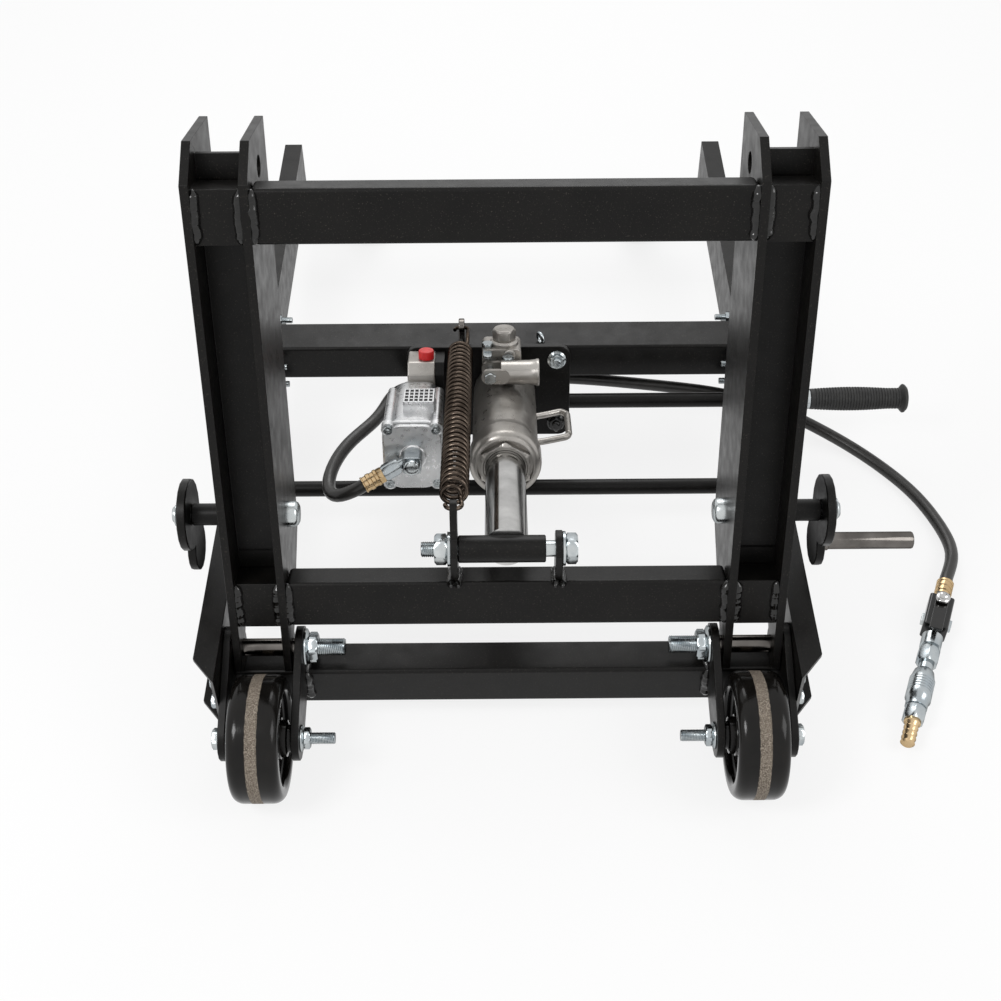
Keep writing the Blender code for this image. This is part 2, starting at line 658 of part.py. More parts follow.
def build_casters():
    """Cross plate at the rear with two swivel casters under it."""
    reach = RAIL_INNER - GAP
    half = CASTER_PLATE_LENGTH / 2
    outline = [(-reach, CASTER_Y - half), (reach, CASTER_Y - half), (reach, CASTER_Y + half), (-reach, CASTER_Y + half)]
    holes = [(side * CASTER_X, CASTER_Y, STEM_RADIUS + RUN_GAP, 18) for side in (-1, 1)]
    cross = plate(outline, CASTER_PLATE_TOP - CASTER_PLATE_THICKNESS, CASTER_PLATE_TOP, "Z", holes)
    place_mesh("rear_caster_plate", to_mesh(cross, "cross"), PAINT)
    inner = CASTER_WIDTH / 2 + FORK_WALL / 2
    hub = inner - GAP
    half_wide = CASTER_WIDTH / 2
    shoulder = CASTER_RADIUS * 0.12
    bore = CASTER_AXLE_RADIUS + RUN_GAP
    side_rows = [(half_wide * 0.8, CASTER_RADIUS * 0.4), (half_wide * 0.8, CASTER_RADIUS * 0.7),
                 (half_wide, CASTER_RADIUS * 0.75), (half_wide, CASTER_RADIUS - shoulder),
                 (half_wide - shoulder, CASTER_RADIUS)]
    profile = [(-hub, bore), (-hub, CASTER_RADIUS * 0.4)] + [(-x, r) for x, r in side_rows]
    profile += side_rows[::-1] + [(hub, CASTER_RADIUS * 0.4), (hub, bore)]
    grip = inner + FORK_WALL + GAP
    head = CASTER_AXLE_RADIUS * 1.7
    axle = [(-grip - FORK_WALL, head, "hex"), (-grip, head, "hex"), (-grip, CASTER_AXLE_RADIUS),
            (grip, CASTER_AXLE_RADIUS), (grip, head, "hex"), (grip + FORK_WALL, head, "hex")]
    for label, side in SIDES.items():
        swivel = (side * CASTER_X, CASTER_Y, 0)
        hub_place = (side * CASTER_X, CASTER_Y + CASTER_TRAIL, CASTER_RADIUS)
        place_mesh("caster_fork_" + label, caster_fork(), ZINC, ROOT, swivel)
        place_mesh("caster_axle_" + label, to_mesh(turned(axle, 12), "axle"), ZINC, ROOT, hub_place)
        place_mesh("caster_wheel_" + label, to_mesh(turned(profile, 20, closed=True), "wheel"), TREAD, ROOT, hub_place)


def arm_outline():
    """Side plate of a lift arm in (u, front): round foot, straight front edge, chamfered top, sloping heel."""
    front = -ARM_FRONT_W
    back = -ARM_BACK_W
    points = arc(0, 0, ARM_FOOT_RADIUS, 300, 180, 8)
    points += [(-ARM_FOOT_RADIUS, front)]
    points += [(ARM_TOP_U - ARM_TOP_CUT, front), (ARM_TOP_U, front - ARM_TOP_CUT), (ARM_TOP_U, back)]
    points += [(ARM_WEB_START, back)]
    return points


def tube_block(start, depth, low_x, high_x):
    """Stretch of a cross tube between two places on X, set back from the arms' front edges."""
    front = -ARM_FRONT_W - TUBE_SETBACK
    return block((low_x, start, front - depth), (high_x, start + TUBE_HEIGHT, front))


def build_lift_frame():
    """Two channel arms, cross tubes, ears, the clevis bolt and the lock pins."""
    pin_hole = (0.0, 0.0, PIVOT_RADIUS + RUN_GAP, 18)
    lock_hole = (LOCK_U, -LOCK_W, LOCK_PIN_RADIUS + RUN_GAP, 14)
    head_hole = (HEAD_HOLE_U, -HEAD_HOLE_W, HEAD_HOLE_RADIUS, 16)
    holes = [pin_hole, lock_hole, head_hole]
    overlap = ARM_WALL / 2
    tubes = {"lower_cross_tube": (LOWER_TUBE_U, LOWER_TUBE_DEPTH), "top_cross_tube": (TOP_TUBE_U, TOP_TUBE_DEPTH)}
    for label, side in SIDES.items():
        outer = plate(arm_outline(), side * (ARM_OUTER - ARM_WALL), side * ARM_OUTER, "X", holes)
        inner = plate(arm_outline(), side * ARM_INNER, side * (ARM_INNER + ARM_WALL), "X", holes)
        low_x, high_x = sorted((side * (ARM_INNER + overlap), side * (ARM_OUTER - overlap)))
        web = block((low_x, ARM_WEB_START + ARM_WEB_WALL, -ARM_WEB_W - ARM_WEB_WALL),
                    (high_x, ARM_WEB_TOP, -ARM_WEB_W))
        steps = [("UNION", outer), ("UNION", inner)]
        for start, depth in tubes.values():
            steps.append(("UNION", tube_block(start, depth, low_x, high_x)))
        mesh = combine("arm", web, steps)
        place_mesh("lift_arm_" + label, mesh, PAINT, LIFT, smooth=False)
        lock = [(ARM_INNER - GAP - LOCK_PIN_RADIUS * 1.5, LOCK_PIN_RADIUS * 1.2),
                (ARM_INNER - GAP - LOCK_PIN_RADIUS, LOCK_PIN_RADIUS * 1.6),
                (ARM_INNER - GAP, LOCK_PIN_RADIUS * 1.6), (ARM_INNER - GAP, LOCK_PIN_RADIUS),
                (ARM_OUTER + GAP, LOCK_PIN_RADIUS), (ARM_OUTER + GAP, LOCK_SPACER_RADIUS),
                (LOCK_LINK_X - GAP, LOCK_SPACER_RADIUS), (LOCK_LINK_X - GAP, LOCK_PIN_RADIUS),
                (LOCK_LINK_X + LOCK_LINK_THICKNESS + GAP, LOCK_PIN_RADIUS),
                (LOCK_LINK_X + LOCK_LINK_THICKNESS + GAP, LOCK_PIN_RADIUS * 1.7),
                (LOCK_LINK_X + LOCK_LINK_THICKNESS * 1.3, LOCK_PIN_RADIUS * 1.7),
                (LOCK_LINK_X + LOCK_LINK_THICKNESS * 1.3, LOCK_PIN_RADIUS), (LOCK_PIN_END, LOCK_PIN_RADIUS)]
        place_mesh("lock_pin_" + label, to_mesh(turned(lock, 14, side=side), "lock"), ZINC, LIFT, (0, LOCK_U, -LOCK_W))
    front = -ARM_FRONT_W - TUBE_SETBACK
    reach = ARM_INNER - GAP
    for name, (start, depth) in tubes.items():
        place_mesh(name, to_mesh(tube_block(start, depth, -reach, reach), name), PAINT, LIFT)
    foot = LOWER_TUBE_U + TUBE_HEIGHT + GAP
    bolt_hole = (BOLT_U, -BOLT_W, BOLT_RADIUS + GAP, 18)
    low = front - LOWER_TUBE_DEPTH
    short = [(foot, low), (foot, front)] + arc(BOLT_U, -BOLT_W, EAR_RADIUS, 90, -90, 12)
    place_mesh("ear_right", to_mesh(plate(short, EAR_X, EAR_X + EAR_THICKNESS, "X", [bolt_hole]), "ear"), PAINT, LIFT)
    tall = [(foot, low), (foot, front)] + arc(BOLT_U, -BOLT_W, EAR_RADIUS, 90, 30, 4)
    tall += arc(HOOK_U, -BOLT_W, HOOK_EYE, 80, -80, 10) + arc(BOLT_U, -BOLT_W, EAR_RADIUS, -30, -90, 4)
    tall_holes = [bolt_hole, (HOOK_U, -BOLT_W, HOOK_HOLE, HOLE_STEPS)]
    ear = plate(tall, -EAR_X, -EAR_X - EAR_THICKNESS, "X", tall_holes)
    place_mesh("ear_left", to_mesh(ear, "ear"), PAINT, LIFT)
    seat = EAR_X + EAR_THICKNESS + GAP
    washer = WASHER_RADIUS / 4
    nut = BOLT_HEX
    bolt = [(-seat - washer - nut * 1.8, BOLT_RADIUS * 0.8), (-seat - washer - nut * 1.7, BOLT_RADIUS * 0.95),
            (-seat - washer - nut, BOLT_RADIUS * 0.95), (-seat - washer - nut, BOLT_HEX, "hex"),
            (-seat - washer, BOLT_HEX, "hex"), (-seat - washer, WASHER_RADIUS), (-seat, WASHER_RADIUS),
            (-seat, BOLT_RADIUS), (seat, BOLT_RADIUS), (seat, WASHER_RADIUS), (seat + washer, WASHER_RADIUS),
            (seat + washer, BOLT_HEX, "hex"), (seat + washer + nut * 0.75, BOLT_HEX, "hex")]
    place_mesh("clevis_bolt", to_mesh(turned(bolt, 18), "bolt"), ZINC, LIFT, (0, BOLT_U, -BOLT_W))


def build_lock():
    """Lock links outside the arms, with the foot pedal rod on the right one."""
    y, z = lift_point(LOCK_U, LOCK_W)
    lean = atan2(LOCK_FOOT_Z, LOCK_FOOT_Y) * 180 / pi
    outline = arc(0, 0, LOCK_LINK_RADIUS, lean + 35, lean + 325, 14)
    outline += arc(LOCK_FOOT_Y, LOCK_FOOT_Z, LOCK_FOOT_RADIUS, lean - 140, lean + 140, 12)
    hole = [(0, 0, LOCK_PIN_RADIUS + RUN_GAP, 14)]
    back = LOCK_LINK_X + LOCK_LINK_THICKNESS
    for label, side in SIDES.items():
        link = plate(outline, side * LOCK_LINK_X, side * back, "X", hole)
        place_mesh("lock_link_" + label, to_mesh(link, "link"), PAINT, ROOT, (0, y, z))
    pedal = [(back + GAP, PEDAL_RADIUS), (PEDAL_END - GAP * 5, PEDAL_RADIUS), (PEDAL_END, PEDAL_RADIUS - GAP * 5)]
    foot = Matrix.Translation((0, LOCK_FOOT_Y, LOCK_FOOT_Z))
    place_mesh("pedal_rod", to_mesh(turned(pedal, 18, matrix=foot), "pedal"), ZINC, ROOT, (0, y, z))


def lengthwise(profile, segments=28, closed=False, x=0.0, z=0.0):
    """Turned solid whose axis lies along the jack."""
    matrix = Matrix.Translation((x, 0, z)) @ Matrix.Rotation(pi / 2, 4, "Z")
    return turned(profile, segments, closed, matrix=matrix)


def build_ram():
    """Cross sleeve on the clevis bolt and the plated ram rod with its saddle-cut end."""
    half = EAR_X - GAP
    bore = BOLT_RADIUS + RUN_GAP
    sleeve = [(-half, bore), (-half, SLEEVE_RADIUS), (half, SLEEVE_RADIUS), (half, bore)]
    place_mesh("ram_sleeve", to_mesh(turned(sleeve, 24, closed=True), "sleeve"), PAINT, JACK)
    bar = lengthwise([(GAP, RAM_RADIUS), (RAM_LENGTH, RAM_RADIUS)], 32)
    saddle = rod(-RAM_RADIUS * 2, RAM_RADIUS * 2, SLEEVE_RADIUS + GAP, segments=32)
    front_half = block((-RAM_RADIUS * 2, -RAM_RADIUS, -RAM_RADIUS * 2), (RAM_RADIUS * 2, SLEEVE_RADIUS / 4, RAM_RADIUS * 2))
    mesh = combine("ram_rod", bar, [("DIFFERENCE", saddle), ("DIFFERENCE", front_half)])
    place_mesh("ram_rod", mesh, CHROME, JACK)


def build_jack():
    """Cylinder, gland nut, base plate, pump, valve block, air motor and carry handle."""
    bore = RAM_RADIUS + RUN_GAP
    shoulder = CYLINDER_RADIUS - NECK_RADIUS
    neck = [(CYLINDER_FRONT, bore), (CYLINDER_FRONT, NECK_RADIUS), (CYLINDER_FRONT + shoulder, NECK_RADIUS),
            (CYLINDER_FRONT + shoulder, NECK_RADIUS + shoulder * 0.6),
            (CYLINDER_FRONT + shoulder * 2, NECK_RADIUS + shoulder * 0.6),
            (CYLINDER_FRONT + shoulder * 3, CYLINDER_RADIUS), (CYLINDER_BACK, CYLINDER_RADIUS)]
    floor = RAM_LENGTH + STROKE_ROOM
    inside = [(CYLINDER_BACK, bore / 2), (floor, bore / 2), (floor, bore)]
    place_mesh("jack_cylinder", to_mesh(lengthwise(neck + inside, 30, True), "cylinder"), CAST, JACK)
    edge = GLAND_LENGTH / 5
    gland = [(GLAND_FRONT, bore), (GLAND_FRONT, bore + edge), (GLAND_FRONT + edge, GLAND_HEX, "hex"),
             (GLAND_BACK, GLAND_HEX, "hex"), (GLAND_BACK, bore)]
    place_mesh("gland_nut", to_mesh(lengthwise(gland, 30, True), "gland"), CAST, JACK)
    plate_centre = ((PLATE_LEFT + PLATE_RIGHT) / 2, (PLATE_LOW + PLATE_HIGH) / 2)
    outline = rounded_box((PLATE_RIGHT - PLATE_LEFT) / 2, (PLATE_HIGH - PLATE_LOW) / 2, PLATE_CORNER, 4, plate_centre)
    base = plate(outline, PLATE_FRONT, PLATE_BACK, "Y")
    sink = PLATE_BACK - PLATE_THICKNESS / 2
    lug = arc(JACK_LENGTH, 0, LUG_RADIUS, -90, 90, 10) + [(sink, LUG_RADIUS), (sink, -LUG_RADIUS)]
    lug_hole = [(JACK_LENGTH, 0, JACK_PIN_RADIUS + JACK_PIN_FLOAT, 18)]
    lugs = []
    for side in (-1, 1):
        lugs.append(("UNION", plate(lug, side * LUG_X, side * (LUG_X + LUG_THICKNESS), "X", lug_hole)))
    mesh = combine("jack_base_plate", base, lugs)
    place_mesh("jack_base_plate", mesh, PAINT, JACK)
    build_pump()
    build_motor()
    side_x = CYLINDER_RADIUS + GAP
    rear = CYLINDER_BACK - CYLINDER_LENGTH * 0.32
    ahead = CYLINDER_FRONT + CYLINDER_LENGTH * 0.24
    bend = (CARRY_REACH - side_x) / 2
    loop = [(side_x, rear), *arc(CARRY_REACH - bend, rear - bend, bend, 80, 0, 5),
            *arc(CARRY_REACH - bend, ahead + bend, bend, 0, -80, 5), (side_x, ahead)]
    tube("carry_handle", [(x, y, 0.0) for x, y in loop], CARRY_WIRE, ZINC, 2, JACK)


def build_pump():
    """Pump block with its hex cap and pivot pin, and the handle socket that swings on the pin."""
    body = block((PUMP_LEFT, PUMP_FRONT, PUMP_LOW), (PUMP_RIGHT, PUMP_BACK, PUMP_TOP))
    upright = Matrix.Rotation(-pi / 2, 4, "Y")
    middle = (PUMP_FRONT + PUMP_BACK) / 2
    cap_rows = [(PUMP_TOP - GAP, PUMP_CAP_HEX, "hex"), (PUMP_TOP + PUMP_CAP_HEIGHT, PUMP_CAP_HEX, "hex")]
    cap = turned(cap_rows, 24, matrix=Matrix.Translation((0, middle, 0)) @ upright)
    reach = SOCKET_Y - SOCKET_RADIUS - SOCKET_PIN_RADIUS
    pin = lengthwise([(reach, SOCKET_PIN_RADIUS), (PUMP_FRONT + SOCKET_PIN_RADIUS, SOCKET_PIN_RADIUS)], 16, False,
                     SOCKET_PIVOT_X, SOCKET_Z)
    place_mesh("pump_block", combine("pump_block", body, [("UNION", cap), ("UNION", pin)]), CAST, JACK)
    left = -SOCKET_RADIUS
    right = left + SOCKET_LENGTH
    bore = HANDLE_RADIUS + RUN_GAP
    flare = SOCKET_FLARE - SOCKET_RADIUS
    rows = [(left, SOCKET_RADIUS), (right - flare * 3, SOCKET_RADIUS), (right, SOCKET_FLARE), (right, bore),
            (right - SOCKET_DEPTH, bore)]
    body = turned(rows, 24)
    hole = lengthwise([(-SOCKET_RADIUS * 2, SOCKET_PIN_RADIUS + RUN_GAP),
                       (SOCKET_RADIUS * 2, SOCKET_PIN_RADIUS + RUN_GAP)], 16)
    mesh = combine("handle_socket", body, [("DIFFERENCE", hole)])
    place_mesh("handle_socket", mesh, CAST, JACK, (SOCKET_PIVOT_X, SOCKET_Y, SOCKET_Z))


def build_motor():
    """Valve block with its filler plug, air motor with screw tubes, eared cover, exhaust block and banjo fitting."""
    valve = block((VALVE_LEFT, VALVE_FRONT, VALVE_LOW), (VALVE_RIGHT, VALVE_BACK, VALVE_HIGH))
    place_mesh("valve_block", to_mesh(valve, "valve"), CAST, JACK)
    upright = Matrix.Rotation(-pi / 2, 4, "Y")
    seat = VALVE_HIGH + GAP
    spot = ((VALVE_LEFT + VALVE_RIGHT) / 2, (VALVE_FRONT + VALVE_BACK) / 2, seat)
    plug = turned([(0, PLUG_RADIUS), (PLUG_HEIGHT * 0.8, PLUG_RADIUS), (PLUG_HEIGHT, PLUG_RADIUS * 0.8)], 20,
                  matrix=Matrix.Translation(spot) @ upright)
    place_mesh("filler_plug", to_mesh(plug, "plug"), RED, JACK)
    half_w = MOTOR_WIDTH / 2
    half_h = MOTOR_HEIGHT / 2
    corner = MOTOR_WIDTH * 0.36
    shell = plate(rounded_box(half_w, half_h, corner, 6, (MOTOR_X, 0.0)), MOTOR_FRONT, MOTOR_BACK, "Y")
    face = plate(rounded_box(half_w, half_h, corner, 6, (MOTOR_X, 0.0)), COVER_FRONT, COVER_BACK, "Y")
    tubes = []
    ears = []
    boss_end = MOTOR_BACK - MOTOR_LENGTH / 5
    for x in (MOTOR_X - half_w + MOTOR_BOSS_INSET, MOTOR_X + half_w - MOTOR_BOSS_INSET):
        for z in (MOTOR_BOSS_INSET - half_h, half_h - MOTOR_BOSS_INSET):
            tube_rows = [(MOTOR_FRONT, MOTOR_BOSS), (boss_end, MOTOR_BOSS), (boss_end + MOTOR_BOSS, MOTOR_BOSS / 2)]
            tubes.append(("UNION", lengthwise(tube_rows, 14, False, x, z)))
            ears.append(("UNION", lengthwise([(COVER_FRONT, COVER_EAR), (COVER_BACK, COVER_EAR)], 16, False, x, z)))
    place_mesh("air_motor_body", combine("motor", shell, tubes), ALUMINIUM, JACK)
    place_mesh("air_motor_cover", combine("cover", face, ears), ALUMINIUM, JACK)
    middle = MOTOR_FRONT + MOTOR_LENGTH * 0.42
    low = half_h + GAP
    exhaust = block((MOTOR_X - EXHAUST_WIDTH / 2, middle - EXHAUST_LENGTH / 2, low),
                    (MOTOR_X + EXHAUST_WIDTH / 2, middle + EXHAUST_LENGTH / 2, low + EXHAUST_HEIGHT))
    place_mesh("exhaust_block", to_mesh(exhaust, "exhaust"), ALUMINIUM, JACK)
    half = BANJO_SIZE / 2
    back = COVER_FRONT - GAP
    cube = block((MOTOR_X - half, back - BANJO_SIZE, -half), (MOTOR_X + half, back, half))
    bolt_rows = [(back - BANJO_SIZE - BANJO_BOLT, BANJO_BOLT, "hex"), (back - BANJO_SIZE + GAP, BANJO_BOLT, "hex")]
    bolt = lengthwise(bolt_rows, 12, False, MOTOR_X, 0.0)
    place_mesh("banjo_fitting", combine("banjo_fitting", cube, [("UNION", bolt)]), ZINC, JACK)


def build_spring():
    """Extension spring from the tall ear to the anchor: hook, open coils and hook in one wire."""
    hook_y, hook_z = lift_point(HOOK_U, BOLT_W)
    start = Vector((SPRING_X, hook_y, hook_z))
    end = Vector((SPRING_X, ANCHOR_Y, ANCHOR_Z))
    span = (end - start).length
    forward = (end - start) / span
    across = Vector((1, 0, 0))
    upward = across.cross(forward)
    bow = EAR_THICKNESS ** 2 / (8 * SPRING_HOOK)
    eye = HOOK_HOLE * cos(pi / HOLE_STEPS) - SPRING_WIRE - 2 * GAP - bow
    points = []

    def add(along_axis, out, up):
        points.append(start + forward * along_axis + across * out + upward * up)

    for i in range(HOOK_STEPS + 1):
        turn = pi * i / HOOK_STEPS
        add(eye + SPRING_HOOK * (1 - sin(turn)), -SPRING_HOOK * cos(turn), 0.0)
    coil_start = SPRING_LEAD
    coil_end = span - SPRING_TAIL
    steps = COIL_POINTS * SPRING_TURNS
    for i in range(steps + 1):
        turn = 2 * pi * i / COIL_POINTS
        grow = min(1.0, (i + COIL_POINTS / 2) / COIL_POINTS, (steps - i + COIL_POINTS / 2) / COIL_POINTS)
        add(coil_start + (coil_end - coil_start) * i / steps, SPRING_RADIUS * grow * cos(turn),
            SPRING_RADIUS * grow * sin(turn))
    for part in (0.85, 0.55):
        add(span - SPRING_TAIL * part, SPRING_HOOK, SPRING_RISE)
    for i in range(HOOK_STEPS + 1):
        turn = pi * i / HOOK_STEPS
        add(span - eye - SPRING_HOOK * (1 - sin(turn)), SPRING_HOOK * cos(turn), 0.0)
    print("return spring least gap", round(least_gap(points, SPRING_WIRE), 5))
    tube("return_spring", points, SPRING_WIRE, SPRING_STEEL, 1)


def least_gap(points, radius):
    """Least clear distance between stretches of a wire that are more than a few diameters apart."""
    near = []
    skip = 5
    for i, first in enumerate(points):
        for second in points[i + skip:i + 4 * skip]:
            near.append((second - first).length - 2 * radius)
    return min(near)


def build_handle():
    """Pump handle stored through the right rail: bar and ribbed grip."""
    bar = rod(HANDLE_START, GRIP_START - GAP, HANDLE_RADIUS)
    place_mesh("handle_bar", to_mesh(bar, "bar"), PAINT, ROOT, (0, HANDLE_Y, HANDLE_Z))
    collar = GRIP_RADIUS / 2
    tip = GRIP_RADIUS / 3
    rows = [(GRIP_START, GRIP_RADIUS), (GRIP_START + collar, GRIP_RADIUS)]
    ribs_end = GRIP_END - 2 * collar
    pitch = (ribs_end - GRIP_START - collar) / GRIP_RIBS
    for i in range(GRIP_RIBS):
        here = GRIP_START + collar + i * pitch
        rows += [(here + pitch * 0.25, GRIP_RADIUS - GRIP_RIB_DEPTH), (here + pitch, GRIP_RADIUS)]
    rows += [(GRIP_END - collar, GRIP_FLARE), (GRIP_END - tip, GRIP_FLARE), (GRIP_END, GRIP_FLARE - tip)]
    place_mesh("handle_grip", to_mesh(turned(rows, 16), "grip"), RUBBER, ROOT, (0, HANDLE_Y, HANDLE_Z))


def build_air_line():
    """Motor ferrule, hose lying on the floor, lever valve and coupler."""
    banjo = jack_point(MOTOR_X - BANJO_SIZE / 2, COVER_FRONT - GAP - BANJO_SIZE / 2, 0.0)
    direction = FERRULE_DIRECTION.normalized()
    end_radius = FERRULE_HEX * 0.7
    square = -direction.x
    lead = (GAP + end_radius * (1 - square ** 2) ** 0.5) / square
    start = banjo + direction * lead
    rows = [(0, end_radius), (FERRULE_HEX * 0.5, FERRULE_HEX, "hex"), (FERRULE_HEX * 1.6, FERRULE_HEX, "hex"),
            (FERRULE_HEX * 1.6, FERRULE_RADIUS), (FERRULE_LENGTH, FERRULE_RADIUS)]
    place = Matrix.Translation(start) @ along(direction)
    place_mesh("motor_ferrule", to_mesh(turned(rows, 18, matrix=place), "ferrule"), BRASS)
    hose_start = start + direction * (FERRULE_LENGTH + GAP)
    chain = CHAIN_DIRECTION.normalized()
    hose_end = CHAIN_START - chain * GAP * 2
    route = [hose_start, hose_start + direction * 0.022, Vector((-0.192, 0.268, 0.126)),
             Vector((-0.197, 0.305, 0.124)), Vector((-0.180, 0.352, 0.128)), Vector((-0.148, 0.400, 0.122)),
             Vector((-0.137, 0.455, 0.104)), Vector((-0.123, 0.505, 0.078)), Vector((-0.066, 0.540, 0.060)),
             Vector((0.010, 0.548, 0.057)), Vector((0.090, 0.546, 0.056)), Vector((0.180, 0.540, 0.050)),
             Vector((0.270, 0.533, 0.041)), Vector((0.340, 0.520, 0.027)), Vector((0.400, 0.490, 0.014)),
             Vector((0.452, 0.444, 0.0085)), Vector((0.494, 0.384, 0.0080)), Vector((0.515, 0.322, 0.0085)),
             hose_end - chain * 0.048 + Vector((0.003, 0, -0.004)), hose_end - chain * 0.020, hose_end]
    tube("air_hose", smooth_path(route, HOSE_POINTS), HOSE_RADIUS, RUBBER, 2)
    frame = Matrix.Translation(CHAIN_START) @ along(chain)
    half = VALVE_BLOCK_HALF
    valve_end = CHAIN_FERRULE + VALVE_BLOCK_LENGTH
    ferrule = turned([(0, FERRULE_RADIUS), (CHAIN_FERRULE * 0.7, FERRULE_RADIUS),
                      (CHAIN_FERRULE * 0.7, FERRULE_HEX, "hex"), (CHAIN_FERRULE + GAP, FERRULE_HEX, "hex")], 24)
    body = block((CHAIN_FERRULE, -half, -half), (valve_end, half, half * 0.9))
    mesh = combine("air_valve", body, [("UNION", ferrule)])
    valve = place_mesh("air_valve", mesh, PAINT)
    valve.matrix_local = frame
    hinge = CHAIN_FERRULE + half * 0.5
    lever_low = half * 0.9 + GAP
    outline = [(-half * 0.4, lever_low), (half, lever_low), (LEVER_LENGTH, lever_low + half * 0.5),
               (LEVER_LENGTH, lever_low + half * 0.5 + LEVER_THICKNESS), (half * 0.8, lever_low + LEVER_THICKNESS * 2),
               (-half * 0.4, lever_low + LEVER_THICKNESS * 2)]
    lever = plate(outline, -LEVER_WIDTH / 2, LEVER_WIDTH / 2, "Y")
    piece = place_mesh("valve_lever", to_mesh(lever, "lever"), PAINT, smooth=False)
    piece.matrix_local = frame @ Matrix.Translation((hinge, 0, 0))
    begin = valve_end + GAP
    slim = COUPLER_RADIUS * 0.5
    stage = COUPLER_LENGTH / 10
    rows = [(0, slim), (stage * 1.6, slim), (stage * 1.6, COUPLER_RADIUS * 0.85, "hex"),
            (stage * 3, COUPLER_RADIUS * 0.85, "hex"), (stage * 3, slim * 1.3), (stage * 4.2, slim * 1.3),
            (stage * 4.4, COUPLER_RADIUS * 0.9), (stage * 5.4, COUPLER_RADIUS), (stage * 7.0, COUPLER_RADIUS),
            (stage * 7.2, COUPLER_RADIUS * 0.8), (stage * 7.8, COUPLER_RADIUS * 0.75, "hex"),
            (stage * 8.4, COUPLER_RADIUS * 0.75, "hex"), (stage * 8.4, slim), (stage * 10, slim * 0.9)]
    rows = [(begin + row[0], *row[1:]) for row in rows]
    coupler = place_mesh("air_coupler", to_mesh(turned(rows, 18), "coupler"), ZINC)
    coupler.matrix_local = frame


build_base()
build_front_wheels()
build_casters()
build_lift_frame()
build_lock()
build_ram()
build_jack()
build_spring()
build_handle()
build_air_line()
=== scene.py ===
"""Looks of the air and hydraulic transmission jack: finishes, fillets, welds, threads and fittings.

Metres.  Pieces are built on three sets of axes: the base, the lift frame (Y up the arms, Z to the front)
and the jack (Y from the ram's sleeve to the rear pin), and each rides on the body that carries it.
"""
import json
from math import atan2, cos, pi, radians, sin

import bmesh
import bpy
from mathutils import Matrix, Vector, noise

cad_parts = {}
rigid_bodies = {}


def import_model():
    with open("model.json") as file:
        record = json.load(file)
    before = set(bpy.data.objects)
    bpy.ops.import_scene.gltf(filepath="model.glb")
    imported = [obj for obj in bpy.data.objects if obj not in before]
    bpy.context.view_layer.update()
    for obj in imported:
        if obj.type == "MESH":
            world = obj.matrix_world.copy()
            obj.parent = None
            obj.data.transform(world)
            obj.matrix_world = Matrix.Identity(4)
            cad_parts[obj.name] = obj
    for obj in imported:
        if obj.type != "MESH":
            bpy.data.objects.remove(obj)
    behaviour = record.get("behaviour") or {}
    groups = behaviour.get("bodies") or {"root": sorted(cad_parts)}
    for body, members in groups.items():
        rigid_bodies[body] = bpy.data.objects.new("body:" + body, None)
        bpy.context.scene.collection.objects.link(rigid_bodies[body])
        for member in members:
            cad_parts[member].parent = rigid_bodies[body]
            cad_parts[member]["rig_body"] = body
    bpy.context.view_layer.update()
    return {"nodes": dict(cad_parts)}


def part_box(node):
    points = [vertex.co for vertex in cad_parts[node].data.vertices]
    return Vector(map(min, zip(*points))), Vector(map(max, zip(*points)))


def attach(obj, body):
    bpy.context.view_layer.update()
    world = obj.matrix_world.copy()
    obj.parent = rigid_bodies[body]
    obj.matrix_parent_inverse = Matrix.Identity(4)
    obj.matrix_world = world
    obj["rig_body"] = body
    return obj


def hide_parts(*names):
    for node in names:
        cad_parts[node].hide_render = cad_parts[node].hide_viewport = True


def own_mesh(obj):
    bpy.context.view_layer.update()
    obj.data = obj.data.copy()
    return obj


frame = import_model()
NODES = frame["nodes"]
SIDES = {"left": -1, "right": 1}


# Places on the frame

def middle(node):
    """Centre of a node's box."""
    low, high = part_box(node)
    return (low + high) / 2


BASE_X = (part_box("rail_left")[0].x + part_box("rail_right")[1].x) / 2
AXLE = middle("front_wheel_left")
PIVOT = middle("lift_pivot_pin_left")
TIP = middle("clevis_bolt")
HEEL = middle("jack_pin")
LIFT_ANGLE = radians(73)
JACK_ANGLE = atan2(HEEL.z - TIP.z, HEEL.y - TIP.y)
BASE = Matrix.Translation((BASE_X, AXLE.y, 0.0))
LIFT = Matrix.Translation((BASE_X, PIVOT.y, PIVOT.z)) @ Matrix.Rotation(LIFT_ANGLE, 4, "X")
JACK = Matrix.Translation((BASE_X, TIP.y, TIP.z)) @ Matrix.Rotation(JACK_ANGLE, 4, "X")
BODY_AXES = {"base": BASE, "lift_frame": LIFT}
HALF_TURN = Matrix.Rotation(pi, 4, "Z")


def span(node, place=BASE):
    """Lowest and highest corners of a node on a frame's own axes."""
    inverse = place.inverted()
    points = [inverse @ vertex.co for vertex in NODES[node].data.vertices]
    low = Vector([min(point[i] for point in points) for i in range(3)])
    high = Vector([max(point[i] for point in points) for i in range(3)])
    return low, high


def reach(node, place=BASE):
    """Least and most distance of a node from the middle plane, for a node on one side of it."""
    low, high = span(node, place)
    return sorted((abs(low.x), abs(high.x)))


def on_axis(node, place=BASE, flipped=False):
    """Axes whose X runs through a node's centre, turned to the left where flipped."""
    low, high = span(node, place)
    axes = place @ Matrix.Translation((0, (low.y + high.y) / 2, (low.z + high.z) / 2))
    return axes @ HALF_TURN if flipped else axes


# Camera, floor and light

